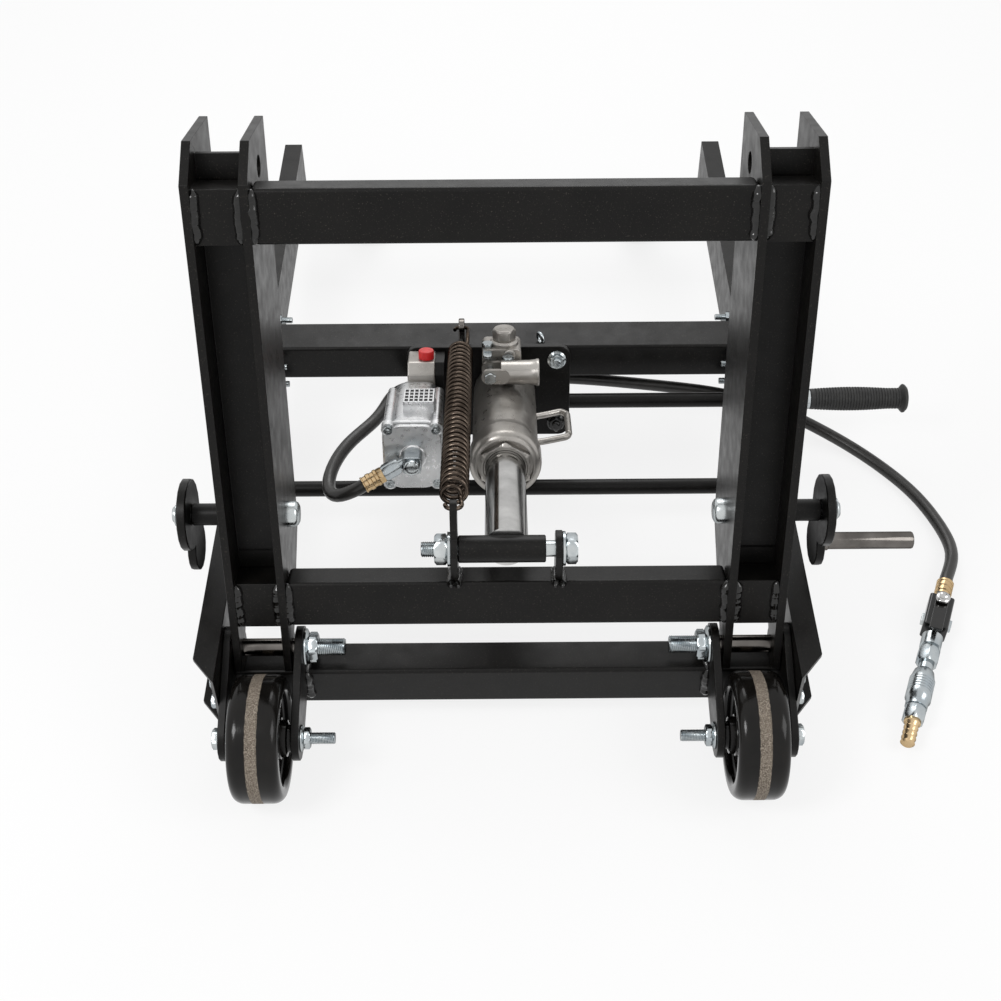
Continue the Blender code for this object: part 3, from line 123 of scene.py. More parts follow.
CAMERA_LENS = 51.7
CAMERA_SENSOR = 36.0
CAMERA_PLACE = Vector((-0.0056, -0.822, 1.252))
CAMERA_PITCH = radians(44)
CAMERA_ROLL = radians(-0.43)
FLOOR_SIZE = 60.0
FLOOR_LEVEL = -0.0005
FLOOR_SHOW = 0.82
FLOOR_VALUES = {"Base Color": (0.86, 0.86, 0.86, 1.0), "Roughness": 0.9, "Specular IOR Level": 0.1}
WORLD_LIGHT = 0.55


def new_object(name, data):
    """Object in the scene that shows some data."""
    made = bpy.data.objects.new(name, data)
    bpy.context.scene.collection.objects.link(made)
    return made


def make_camera():
    """Camera at the photograph's angle."""
    data = bpy.data.cameras.new("camera")
    data.lens = CAMERA_LENS
    data.sensor_width = CAMERA_SENSOR
    camera = new_object("camera", data)
    turn = Matrix.Rotation(CAMERA_PITCH, 4, "X") @ Matrix.Rotation(CAMERA_ROLL, 4, "Z")
    camera.matrix_world = BASE @ Matrix.Translation(CAMERA_PLACE) @ turn
    bpy.context.scene.camera = camera


def add_node(tree, kind, inputs, **settings):
    """New shader node; an input is fed by a socket or set to a value."""
    node = tree.nodes.new("ShaderNode" + kind)
    for name, value in settings.items():
        setattr(node, name, value)
    for key, value in inputs.items():
        if isinstance(value, bpy.types.NodeSocket):
            tree.links.new(value, node.inputs[key])
        else:
            node.inputs[key].default_value = value
    return node


def seen_directly(tree):
    """One where a ray comes from the camera, a mirror or glass."""
    rays = add_node(tree, "LightPath", {}).outputs
    seen = rays["Is Camera Ray"]
    for other in ("Is Glossy Ray", "Is Transmission Ray"):
        seen = add_node(tree, "Math", {0: seen, 1: rays[other]}, operation="MAXIMUM").outputs[0]
    return seen


def make_floor():
    """Pale floor that keeps a faint shadow."""
    mesh = bpy.data.meshes.new("floor")
    shape = bmesh.new()
    bmesh.ops.create_grid(shape, x_segments=1, y_segments=1, size=FLOOR_SIZE)
    shape.to_mesh(mesh)
    shape.free()
    made, tree, shader = start_material("pale_floor", FLOOR_VALUES)
    glow = add_node(tree, "Emission", {})
    share = add_node(tree, "Math", {0: seen_directly(tree), 1: FLOOR_SHOW}, operation="MULTIPLY")
    mix = add_node(tree, "MixShader", {0: share.outputs[0], 1: shader.outputs[0], 2: glow.outputs[0]})
    tree.links.new(mix.outputs[0], tree.nodes["Material Output"].inputs["Surface"])
    mesh.materials.append(made)
    floor = new_object("floor", mesh)
    floor.location = (0.0, 0.0, FLOOR_LEVEL)


def make_world():
    """White surround for the camera and for reflections, soft grey as a light."""
    world = bpy.data.worlds.new("studio")
    bpy.context.scene.world = world
    world.use_nodes = True
    tree = world.node_tree
    back = tree.nodes["Background"]
    light = {"Value": seen_directly(tree), "To Min": WORLD_LIGHT, "To Max": 1.0}
    strength = add_node(tree, "MapRange", light)
    tree.links.new(strength.outputs["Result"], back.inputs["Strength"])
    back.inputs["Color"].default_value = (1.0, 1.0, 1.0, 1.0)


def make_lamp(name, place, target, size, power):
    """Soft square lamp aimed at a point."""
    data = bpy.data.lights.new(name, "AREA")
    data.size = size
    data.energy = power
    lamp = new_object(name, data)
    lamp.location = place
    lamp.rotation_euler = (Vector(target) - Vector(place)).to_track_quat("-Z", "Y").to_euler()


def make_stage():
    """Camera, floor, surround and lamps."""
    make_camera()
    make_floor()
    make_world()
    make_lamp("key_lamp", (-1.3, -1.1, 1.9), (-0.08, 0.0, 0.15), 0.7, 22.0)
    make_lamp("fill_lamp", (1.5, -0.9, 1.5), (-0.08, 0.0, 0.15), 1.0, 12.0)
    make_lamp("rim_lamp", (-0.1, 1.6, 1.7), (-0.08, 0.0, 0.2), 1.2, 14.0)
    bpy.context.scene.view_settings.view_transform = "Standard"


# Material helpers

NOISE_LOW = 0.3
NOISE_HIGH = 0.7
EVEN = (1.0, 1.0, 1.0)
BLACK = (0.0, 0.0, 0.0)
WHITE = (1.0, 1.0, 1.0)


def start_material(name, values):
    """Principled material with plain socket values."""
    made = bpy.data.materials.new(name)
    made.use_nodes = True
    shader = made.node_tree.nodes["Principled BSDF"]
    for socket, value in values.items():
        shader.inputs[socket].default_value = value
    return made, made.node_tree, shader


def pattern(tree, scale, detail, stretch=EVEN):
    """Noise on the piece's own axes."""
    coords = add_node(tree, "TexCoord", {})
    mapping = add_node(tree, "Mapping", {"Vector": coords.outputs["Object"], "Scale": stretch})
    inputs = {"Vector": mapping.outputs["Vector"], "Scale": scale, "Detail": detail}
    return add_node(tree, "TexNoise", inputs).outputs["Fac"]


def ramp(tree, value, *stops):
    """Colours along a value; a stop is its place and its colour."""
    node = add_node(tree, "ValToRGB", {"Fac": value})
    elements = node.color_ramp.elements
    while len(elements) < len(stops):
        elements.new(0.5)
    for element, (place, colour) in zip(elements, stops):
        element.position = place
        element.color = (*colour, 1.0)
    return node.outputs["Color"]


def spread(tree, value, low, high):
    """Map noise, which keeps near its middle, onto a range."""
    ends = {"From Min": NOISE_LOW, "From Max": NOISE_HIGH, "To Min": low, "To Max": high}
    return add_node(tree, "MapRange", {"Value": value, **ends}).outputs["Result"]


def blend_colours(tree, amount, first, second):
    """Mix of two colours by an amount."""
    inputs = {"Factor": amount, "A": first, "B": second}
    return add_node(tree, "Mix", inputs, data_type="RGBA").outputs["Result"]


def bump(tree, shader, value, distance, strength):
    """Raise the surface by a value, over any bump already there."""
    node = add_node(tree, "Bump", {"Height": value, "Distance": distance, "Strength": strength})
    before = shader.inputs["Normal"].links
    if before:
        tree.links.new(before[0].from_socket, node.inputs["Normal"])
    tree.links.new(node.outputs["Normal"], shader.inputs["Normal"])


def flecked(tree, shade, size, low, high, scale, detail, dark, light):
    """Sparse grains of another colour over a shade."""
    amount = ramp(tree, pattern(tree, size, 1.0), (low, BLACK), (high, WHITE))
    grain = ramp(tree, pattern(tree, scale, detail), (0.0, dark), (1.0, light))
    return blend_colours(tree, amount, shade, grain)


def surface(name, values, colour, rough, *grains, stretch=EVEN, top=NOISE_HIGH, flecks=()):
    """Material with a cloudy colour, uneven gloss and one or more grains that raise it.

    Each starts with the scale and detail of its noise.  Colour then has its dark and light ends, rough its
    least and most value, and a grain its depth and strength.
    """
    made, tree, shader = start_material(name, values)
    scale, detail, dark, light = colour
    shade = ramp(tree, pattern(tree, scale, detail), (NOISE_LOW, dark), (top, light))
    if flecks:
        shade = flecked(tree, shade, *flecks)
    tree.links.new(shade, shader.inputs["Base Color"])
    scale, detail, low, high = rough
    gloss = spread(tree, pattern(tree, scale, detail, stretch), low, high)
    tree.links.new(gloss, shader.inputs["Roughness"])
    for scale, detail, depth, strength in grains:
        bump(tree, shader, pattern(tree, scale, detail, stretch), depth, strength)
    return made


# Finishes

METAL_RIM = (0.42, 0.42, 0.42, 1.0)


def paint_finish():
    """Black powder coat: fine orange peel, dust grains and a warm cloudiness."""
    colour = (26.0, 6.0, (0.0020, 0.0018, 0.0016), (0.0046, 0.0041, 0.0036))
    dust = (900.0, 0.66, 0.74, 420.0, 2.0, (0.026, 0.023, 0.020), (0.045, 0.040, 0.034))
    return surface("powder_coat", {"Specular IOR Level": 0.19}, colour, (60.0, 5.0, 0.30, 0.42),
                   (900.0, 2.0, 0.00012, 0.5), top=0.72, flecks=dust)


def weld_finish():
    """Paint that has run smooth and glossy over a weld bead."""
    values = {"Coat Weight": 0.35, "Coat Roughness": 0.05, "Specular IOR Level": 0.3}
    colour = (120.0, 3.0, (0.0022, 0.0020, 0.0018), (0.0050, 0.0045, 0.0040))
    return surface("painted_weld", values, colour, (200.0, 3.0, 0.12, 0.24), (150.0, 2.0, 0.0002, 0.3))


def metal_finish(name, dark, light, rough, grain, depth, stretch=EVEN):
    """Bare or plated metal, with a grain that may run one way."""
    values = {"Metallic": 1.0, "Specular Tint": METAL_RIM}
    return surface(name, values, (40.0, 5.0, dark, light), (grain / 4, 4.0, *rough), (grain, 3.0, depth, 0.3),
                   stretch=stretch)


def cast_finish():
    """Silver-grey coat over a sand casting: soft lumps and a pearly grain."""
    values = {"Metallic": 0.8, "Specular Tint": METAL_RIM}
    colour = (30.0, 6.0, (0.31, 0.293, 0.270), (0.46, 0.440, 0.413))
    pearl = (1500.0, 0.6, 0.75, 300.0, 1.0, (0.44, 0.42, 0.40), (0.56, 0.54, 0.52))
    return surface("coated_casting", values, colour, (90.0, 4.0, 0.26, 0.40), (120.0, 3.0, 0.0005, 0.25),
                   (1400.0, 2.0, 0.00003, 0.2), flecks=pearl)


def rubber_finish(name, dark, light, rough, grain):
    """Black rubber with a faint bloom."""
    return surface(name, {"Specular IOR Level": 0.45}, (70.0, 5.0, dark, light), (180.0, 4.0, *rough),
                   (grain, 3.0, 0.00012, 0.4))


def red_finish():
    """Red moulded plastic."""
    colour = (160.0, 4.0, (0.62, 0.012, 0.014), (0.80, 0.03, 0.03))
    return surface("red_plastic", {"Subsurface Weight": 0.05}, colour, (300.0, 3.0, 0.30, 0.45),
                   (900.0, 2.0, 0.0001, 0.4))


STRIPE_HALF = 0.0059
STRIPE_RAGGED = 0.0016


def wheel_finish():
    """Glossy moulded wheel with a ground, sandy band round the middle of its tread."""
    values = {"Specular IOR Level": 0.2, "Coat Weight": 0.05, "Coat Roughness": 0.05}
    made, tree, shader = start_material("moulded_wheel", values)
    black = ramp(tree, pattern(tree, 50.0, 5.0), (NOISE_LOW, (0.0032, 0.0029, 0.0026)),
                 (NOISE_HIGH, (0.0075, 0.0065, 0.0056)))
    grit = ramp(tree, pattern(tree, 1100.0, 4.0), (0.32, (0.045, 0.036, 0.028)), (0.5, (0.17, 0.14, 0.11)),
                (0.68, (0.42, 0.37, 0.31)))
    coords = add_node(tree, "TexCoord", {})
    split = add_node(tree, "SeparateXYZ", {0: coords.outputs["Object"]})
    away = add_node(tree, "Math", {0: split.outputs["X"]}, operation="ABSOLUTE")
    edge = {0: pattern(tree, 260.0, 4.0), 1: STRIPE_RAGGED, 2: away.outputs[0]}
    ragged = add_node(tree, "Math", edge, operation="MULTIPLY_ADD")
    ends = {"From Min": STRIPE_HALF + 0.0009, "From Max": STRIPE_HALF + 0.0003}
    worn = add_node(tree, "MapRange", {"Value": ragged.outputs[0], **ends}).outputs["Result"]
    gloss = add_node(tree, "MapRange", {"Value": worn, "To Min": 0.16, "To Max": 0.85})
    tree.links.new(blend_colours(tree, worn, black, grit), shader.inputs["Base Color"])
    tree.links.new(gloss.outputs["Result"], shader.inputs["Roughness"])
    bump(tree, shader, pattern(tree, 700.0, 3.0), 0.0002, 0.25)
    return made


ALONG_X = (0.1, 1.0, 1.0)
ALONG_Y = (1.0, 0.06, 1.0)
FINISHES = {
    "paint": (paint_finish(), "paint"),
    "weld": (weld_finish(), "paint"),
    "zinc": (metal_finish("zinc_plate", (0.36, 0.40, 0.425), (0.56, 0.585, 0.585), (0.16, 0.28), 900.0,
                          0.000015), "zinc"),
    "dark_steel": (metal_finish("oiled_steel", (0.090, 0.083, 0.077), (0.185, 0.172, 0.160), (0.12, 0.24),
                                700.0, 0.00003, ALONG_X), "zinc"),
    "chrome": (metal_finish("ground_chrome", (0.42, 0.418, 0.41), (0.58, 0.575, 0.565), (0.10, 0.20), 600.0,
                            0.00003, ALONG_Y), "chrome"),
    "cast": (cast_finish(), "cast"),
    "aluminium": (metal_finish("die_cast_aluminium", (0.70, 0.71, 0.72), (0.87, 0.87, 0.87), (0.24, 0.38),
                               800.0, 0.00005), "aluminium"),
    "brass": (metal_finish("yellow_brass", (0.46, 0.325, 0.17), (0.66, 0.49, 0.29), (0.18, 0.34), 700.0,
                           0.00006), "brass"),
    "spring": (metal_finish("spring_wire", (0.045, 0.035, 0.028), (0.120, 0.094, 0.075), (0.16, 0.28), 900.0,
                            0.00003), "spring"),
    "hose": (rubber_finish("hose_rubber", (0.014, 0.0135, 0.0125), (0.030, 0.028, 0.026), (0.28, 0.42),
                           1500.0), "rubber"),
    "rubber": (rubber_finish("grip_rubber", (0.009, 0.009, 0.009), (0.020, 0.020, 0.019), (0.50, 0.68),
                             900.0), "rubber"),
    "wheel": (wheel_finish(), "wheel"),
    "red": (red_finish(), "red"),
}


# Shape helpers

def link_piece(name, data, finish, body, place=None, stands_for=()):
    """Give a mesh or curve its finish, lay it in place and ride it on a body."""
    made, slot_name = FINISHES[finish]
    data.materials.clear()
    data.materials.append(made)
    piece = new_object(name, data)
    if place:
        piece.matrix_world = place
    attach(piece, body)
    if stands_for:
        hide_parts(*stands_for)
    return piece


def add(name, shapes, finish, body, place=None, stands_for=(), angle=35, rounding=0.0):
    """One piece from one or more bmesh solids, with its edges rounded if asked."""
    mesh = bpy.data.meshes.new(name)
    whole = bmesh.new()
    for shape in shapes if isinstance(shapes, list) else [shapes]:
        bmesh.ops.recalc_face_normals(shape, faces=shape.faces)
        part = bpy.data.meshes.new("part")
        shape.to_mesh(part)
        shape.free()
        whole.from_mesh(part)
        bpy.data.meshes.remove(part)
    whole.to_mesh(mesh)
    whole.free()
    mesh.shade_smooth()
    mesh.set_sharp_from_angle(angle=radians(angle))
    piece = link_piece(name, mesh, finish, body, place, stands_for)
    if rounding:
        round_edges(piece, rounding)
    return piece


ROUNDED_ANGLE = 32


def round_edges(piece, width):
    """Roll the sharp edges over."""
    change = piece.modifiers.new("rounding", "BEVEL")
    change.width = width
    change.segments = 3
    change.limit_method = "ANGLE"
    change.angle_limit = radians(ROUNDED_ANGLE)
    change.harden_normals = True


def dress(node, finish, width):
    """Stand a copy of a node with rolled edges in its place."""
    shape = bmesh.new()
    shape.from_mesh(NODES[node].data)
    bmesh.ops.remove_doubles(shape, verts=shape.verts, dist=0.00001)
    bmesh.ops.dissolve_limit(shape, angle_limit=radians(0.5), verts=shape.verts, edges=shape.edges)
    return add(node + "_dressed", shape, finish, NODES[node]["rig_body"], None, (node,), ROUNDED_ANGLE, width)


def arc(ca, cb, radius, start, end, steps):
    """Points on an arc, angles in degrees."""
    turns = [radians(start + (end - start) * i / steps) for i in range(steps + 1)]
    return [(ca + radius * cos(t), cb + radius * sin(t)) for t in turns]


def rounded_box(half_a, half_b, corner, steps=6, centre=(0.0, 0.0)):
    """Outline of a rectangle with round corners."""
    a = half_a - corner
    b = half_b - corner
    points = []
    for ca, cb, start in ((a, b, 0), (-a, b, 90), (-a, -b, 180), (a, -b, 270)):
        points += arc(centre[0] + ca, centre[1] + cb, corner, start, start + 90, steps)
    return points


AXIS_ORDER = {"X": (2, 0, 1), "Y": (0, 2, 1), "Z": (0, 1, 2)}


def plate(outline, low, high, axis="X"):
    """Flat piece: an outline extruded along an axis, given in the other two axes."""
    order = AXIS_ORDER[axis]
    rings = []
    for level in (low, high):
        rings.append([[(a, b, level)[i] for i in order] for a, b in outline])
    return loft(rings)


def box(low, high):
    """Box between two corners."""
    outline = [(low[0], low[1]), (high[0], low[1]), (high[0], high[1]), (low[0], high[1])]
    return plate(outline, low[2], high[2], "Z")


def loft(rings, closed=False):
    """Skin rings of equal counts; closed joins the last ring to the first, else the ends are capped."""
    shape = bmesh.new()
    made = [[shape.verts.new(point) for point in ring] for ring in rings]
    pairs = list(zip(made, made[1:]))
    if closed:
        pairs.append((made[-1], made[0]))
    count = len(made[0])
    for first, second in pairs:
        for i in range(count):
            j = (i + 1) % count
            shape.faces.new((first[i], first[j], second[j], second[i]))
    if not closed:
        shape.faces.new(made[0])
        shape.faces.new(made[-1])
    return shape


def turned(profile, segments=48, closed=False, matrix=None):
    """Solid turned about X.

    A row is (x, radius), or (x, half width across flats, corner radius) for a hex.
    """
    rings = []
    for row in profile:
        ring = []
        for i in range(segments):
            turn = 2 * pi * i / segments
            radius = row[1]
            if len(row) == 3:
                radius = min(row[1] / cos((turn + pi / 6) % (pi / 3) - pi / 6), row[2])
            ring.append((row[0], radius * cos(turn), radius * sin(turn)))
        rings.append(ring)
    shape = loft(rings, closed)
    if matrix:
        bmesh.ops.transform(shape, matrix=matrix, verts=shape.verts)
    return shape


HEX_CORNER = 1.15
HEX_END = 0.97
HEX_BEVEL = 0.16


def hex_rows(x0, x1, flats):
    """Hex between two planes with its corners chamfered at both ends."""
    bevel = (x1 - x0) * HEX_BEVEL
    return [(x0, flats, flats * HEX_END), (x0 + bevel, flats, flats * HEX_CORNER),
            (x1 - bevel, flats, flats * HEX_CORNER), (x1, flats, flats * HEX_END)]


THREAD_STEPS = 6
THREAD_SIDES = 24


def thread(x0, x1, radius, pitch):
    """Screw thread along X."""
    depth = pitch * 0.5
    steps = int(abs(x1 - x0) / pitch * THREAD_STEPS)
    rings = []
    for i in range(steps + 1):
        x = x0 + (x1 - x0) * i / steps
        fade = min(1.0, i / 5 + 0.3, (steps - i) / 5 + 0.3)
        ring = []
        for j in range(THREAD_SIDES):
            turn = 2 * pi * j / THREAD_SIDES
            wave = abs(2 * ((x / pitch - j / THREAD_SIDES) % 1.0) - 1)
            grow = (radius - depth * wave) * (1 - 0.12 * (1 - fade))
            ring.append((x, grow * cos(turn), grow * sin(turn)))
        rings.append(ring)
    return loft(rings)


def washer(x0, x1, inner, outer, edge=0.15):
    """Washer or collar with rolled rims."""
    step = (x1 - x0) * edge
    rows = [(x0, inner), (x0, outer - step), (x0 + step, outer)]
    rows += [(x1 - step, outer), (x1, outer - step), (x1, inner)]
    return turned(rows, closed=True)


def flange_nut(x, flats, height, way=1):
    """Hex flange nut that sits on the plane at x and grows along way."""
    lip = flats * 1.42
    base = [(x, lip * 0.98), (x + way * height * 0.08, lip), (x + way * height * 0.18, lip * 0.97),
            (x + way * height * 0.34, flats * 1.08)]
    return turned(base + hex_rows(x + way * height * 0.3, x + way * height, flats))


def curve_piece(name, points, radius, finish, body, place=None, stands_for=(), resolution=5, cyclic=False):
    """Round wire or hose along points."""
    curve = bpy.data.curves.new(name, "CURVE")
    curve.dimensions = "3D"
    curve.bevel_depth = radius
    curve.bevel_resolution = resolution
    curve.use_fill_caps = True
    spline = curve.splines.new("POLY")
    spline.points.add(len(points) - 1)
    spline.use_cyclic_u = cyclic
    for spot, point in zip(spline.points, points):
        spot.co = (*point, 1.0)
    spline.use_smooth = True
    return link_piece(name, curve, finish, body, place, stands_for)


def wire_mesh(name, points, radius, resolution):
    """Round wire or hose along points, as a mesh."""
    wire = curve_piece(name + "_curve", points, radius, "spring", "base", resolution=resolution)
    mesh = bpy.data.meshes.new_from_object(wire.evaluated_get(bpy.context.evaluated_depsgraph_get()))
    bpy.data.objects.remove(wire, do_unlink=True)
    return mesh


PATH_PIECES = 24


def smooth_path(knots, count):
    """Even points on a smooth curve through knots."""
    fine = []
    padded = [2 * knots[0] - knots[1], *knots, 2 * knots[-1] - knots[-2]]
    for a, b, c, d in zip(padded, padded[1:], padded[2:], padded[3:]):
        for i in range(PATH_PIECES):
            t = i / PATH_PIECES
            fine.append(0.5 * (2 * b + (c - a) * t + (2 * a - 5 * b + 4 * c - d) * t ** 2
                               + (3 * b - a - 3 * c + d) * t ** 3))
    fine.append(knots[-1])
    lengths = [0.0]
    for first, second in zip(fine, fine[1:]):
        lengths.append(lengths[-1] + (second - first).length)
    points = []
    spot = 0
    for i in range(count):
        target = lengths[-1] * i / (count - 1)
        while spot < len(lengths) - 2 and lengths[spot + 1] < target:
            spot += 1
        part = (target - lengths[spot]) / (lengths[spot + 1] - lengths[spot])
        points.append(fine[spot].lerp(fine[spot + 1], min(part, 1.0)))
    return points


WELD_PITCH = 0.0062
WELD_STEPS = 8
WELD_SIDES = 14
WELD_TAPER = 9
WELD_DRIFT = 0.25
WELD_LEAN = 0.1


def weld(name, start, end, radius, body, seed):
    """Rippled bead between two points, with waves like stacked coins and ragged edges."""
    start = Vector(start)
    end = Vector(end)
    length = (end - start).length
    count = max(12, int(length / WELD_PITCH * WELD_STEPS))
    ahead = (end - start) / length
    side = ahead.orthogonal().normalized()
    up = ahead.cross(side)
    rings = []
    for i in range(count + 1):
        wave = (i / WELD_STEPS) % 1.0
        drift_side = noise.noise(Vector((i * 0.09, seed, 0.3)))
        drift_up = noise.noise(Vector((i * 0.09, seed, 7.3)))
        swell = noise.noise(Vector((i * 0.12, seed, 3.1)))
        taper = min(1.0, ((i + 0.4) / WELD_TAPER) ** 0.5, ((count - i + 0.4) / WELD_TAPER) ** 0.5)
        size = radius * taper * (0.94 + 0.05 * (1 - wave) ** 2 + 0.07 * swell)
        drift = (side * drift_side + up * drift_up) * radius * WELD_DRIFT
        centre = start + ahead * (length * i / count) + drift
        ring = []
        for j in range(WELD_SIDES):
            turn = 2 * pi * j / WELD_SIDES
            lean = ahead * radius * WELD_LEAN * cos(2 * turn) * taper
            ring.append(centre + (side * cos(turn) + up * sin(turn)) * size + lean)
        rings.append(ring)
    add(name, loft(rings), "weld", body, BODY_AXES[body], angle=60)


# Pieces that only get rolled edges: name, finish and radius of the edges

ROLLED = (
    ("rail_{}", "paint", 0.0014),
    ("wheel_bracket_{}_inner", "paint", 0.001),
    ("wheel_bracket_{}_outer", "paint", 0.001),
    ("front_cross_member", "paint", 0.004),
    ("rear_cross_tube", "paint", 0.004),
    ("rear_caster_plate", "paint", 0.001),
    ("jack_clevis", "paint", 0.001),
    ("jack_pin", "zinc", 0.0008),
    ("spring_anchor", "dark_steel", 0.0012),
    ("caster_fork_{}", "zinc", 0.0006),
    ("caster_axle_{}", "zinc", 0.0005),
    ("caster_wheel_{}", "wheel", 0.0012),
    ("lower_cross_tube", "paint", 0.004),
    ("top_cross_tube", "paint", 0.004),
    ("lift_arm_{}", "paint", 0.0009),
    ("ear_{}", "paint", 0.001),
    ("lock_link_{}", "paint", 0.0016),
    ("jack_base_plate", "paint", 0.0016),
)


def dress_nodes():
    """Roll the edges of the plain pieces, on both sides where a name has a gap for the side."""
    for stem, finish, width in ROLLED:
        for node in sorted({stem.format(label) for label in SIDES}):
            dress(node, finish, width)


# Base

def build_tie_rod():
    """Round bar between the rails."""
    low, high = span("tie_rod")
    radius = (high.z - low.z) / 2
    bar = turned([(low.x, radius), (high.x, radius)])
    add("tie_rod_bar", bar, "paint", "base", on_axis("tie_rod"), ("tie_rod",))


AXLES = (("front_axle_", 0.0060, 0.0095, 0.0015), ("lift_pivot_pin_", 0.0090, 0.0135, 0.0020))


def build_axles():
    """Axle bolts and lift pivot pins: threads and flange nuts inside, hex heads outside."""
    for stem, radius, flats, pitch in AXLES:
        for label, side in SIDES.items():
            node = stem + label
            inner, outer = reach(node)
            bracket = reach(f"wheel_bracket_{label}_inner")[0]
            head = outer - flats * 0.8
            place = on_axis(node, flipped=side < 0)
            shank = turned([(bracket - flats, radius * 0.95), (bracket, radius), (head, radius)])
            cap = washer(head, head + 0.0016, radius * 0.9, flats * 1.35)
            hexed = turned(hex_rows(head + 0.0012, outer, flats))
            nut = flange_nut(bracket, flats, flats, -1)
            screw = thread(inner, bracket - flats * 0.9, radius, pitch)
            add(node + "_bolt", [cap, hexed, nut, screw], "zinc", "base", place, (node,))
            add(node + "_shank", shank, "dark_steel", "base", place)


EYE_PLACE = Vector((0.0445, 0.533, 0.0075))
EYE_TURN = 0.5
EYE_RADIUS = 0.0065
EYE_WIRE = 0.0020


def build_tube_eye():
    """Small wire eye on top of the rear tube."""
    top = span("rear_cross_tube")[1].z
    ring = [(0.0, b, c) for b, c in arc(0, 0, EYE_RADIUS, 0, 345, 23)]
    place = BASE @ Matrix.Translation(EYE_PLACE + Vector((0, 0, top))) @ Matrix.Rotation(EYE_TURN, 4, "Z")
    curve_piece("tube_eye", ring, EYE_WIRE, "zinc", "base", place, cyclic=True)


RAIL_BOLTS = ((0.512, 0.108), (0.512, 0.080), (0.590, 0.117), (0.590, 0.086))
RAIL_HEADS = ((0.050, 0.092), (0.040, 0.072))
RAIL_BOLT_FLATS = 0.0065
RAIL_WALL = 0.005


def build_rail_bolts():
    """Bolts that hold the rear tube's ends to the rails, and hex heads near the rails' front ends."""
    for label, side in SIDES.items():
        web = reach("rail_" + label)[0]
        for number, (y, z) in enumerate(RAIL_BOLTS):
            place = BASE @ Matrix.Translation((side * web, y, z))
            if side > 0:
                place = place @ HALF_TURN
            nut = flange_nut(0.0, RAIL_BOLT_FLATS, 0.008)
            screw = thread(0.004, 0.021, 0.0040, 0.00125)
            add(f"rail_bolt_{label}_{number}", [nut, screw], "zinc", "base", place)
        for number, (y, z) in enumerate(RAIL_HEADS):
            place = BASE @ Matrix.Translation((side * (web + RAIL_WALL), y, z))
            if side < 0:
                place = place @ HALF_TURN
            head = turned(hex_rows(0.0012, 0.0075, RAIL_BOLT_FLATS))
            shapes = [washer(0.0, 0.0014, 0.004, 0.0095), head]
            add(f"rail_head_{label}_{number}", shapes, "zinc", "base", place)


WHEEL_HALF = 0.025
WHEEL_LIP = 0.0045
WHEEL_SHOULDER = 0.0113


def build_front_wheels():
    """Hard wheels: crowned tread, rolled lips, dished sides and stepped hubs."""
    for label in SIDES:
        node = "front_wheel_" + label
        low, high = span(node)
        radius = (high.z - low.z) / 2
        hub = (high.x - low.x) / 2
        side = [(hub, 0.0062), (hub, 0.0125), (hub - 0.0008, 0.0132), (hub - 0.004, 0.0138),
                (hub - 0.0048, 0.0165), (hub - 0.0052, 0.018), (hub - 0.0104, 0.0186), (hub - 0.011, 0.0205),
                (hub - 0.0126, 0.0212), (WHEEL_HALF - 0.0088, 0.0225), (WHEEL_HALF - 0.0092, 0.0440)]
        side += arc(WHEEL_HALF - WHEEL_LIP, 0.0505, WHEEL_LIP, 235, 360, 7)
        shoulder = arc(WHEEL_HALF - WHEEL_SHOULDER, 0, WHEEL_SHOULDER, 0, 90, 10)
        side += [(x, radius - 0.0085 + rise * 0.75) for x, rise in shoulder]
        side += [(WHEEL_HALF * 0.25, radius)]
        profile = [(-x, r) for x, r in side] + side[::-1]
        place = BASE @ Matrix.Translation((low + high) / 2)
        add(node + "_moulded", turned(profile, 96, True), "wheel", node, place, (node,), angle=28)


BRACKET_BEAD = 0.0060
BRACKET_TOP_BEAD = 0.0055
TUBE_BEAD = 0.0035
BEAD_SINK = 0.001


def build_base_welds():
    """Beads where brackets meet the cross member, the rails and the rear tube."""
    cross_low, cross_high = span("front_cross_member")
    tube_low, tube_high = span("rear_cross_tube")
    for number, (label, side) in enumerate(SIDES.items()):
        x = side * (reach(f"wheel_bracket_{label}_inner")[0] - BEAD_SINK)
        corner = (x, cross_low.y, cross_high.z)
        weld(f"bracket_weld_{label}_front", (x, cross_low.y, cross_low.z + 0.010), corner, BRACKET_BEAD,
             "base", number + 1)
        weld(f"bracket_weld_{label}_top", corner, (x, cross_high.y, cross_high.z), BRACKET_TOP_BEAD,
             "base", number + 11)
        x = side * (reach("rail_" + label)[0] - BEAD_SINK)
        for edge, y in (("front", tube_low.y), ("back", tube_high.y)):
            weld(f"rear_tube_weld_{label}_{edge}", (x, y, tube_low.z), (x, y, tube_high.z), TUBE_BEAD,
                 "base", number + 21)
        weld(f"rear_tube_weld_{label}_top", (x, tube_low.y, tube_high.z), (x, tube_high.y, tube_high.z),
             TUBE_BEAD, "base", number + 31)


# Lift frame

ARM_WALL = 0.008
WEB_FOOT_LOW = (0.060, -0.027)
WEB_FOOT_HIGH = (0.104, -0.021)
ARM_BEAD = 0.0064


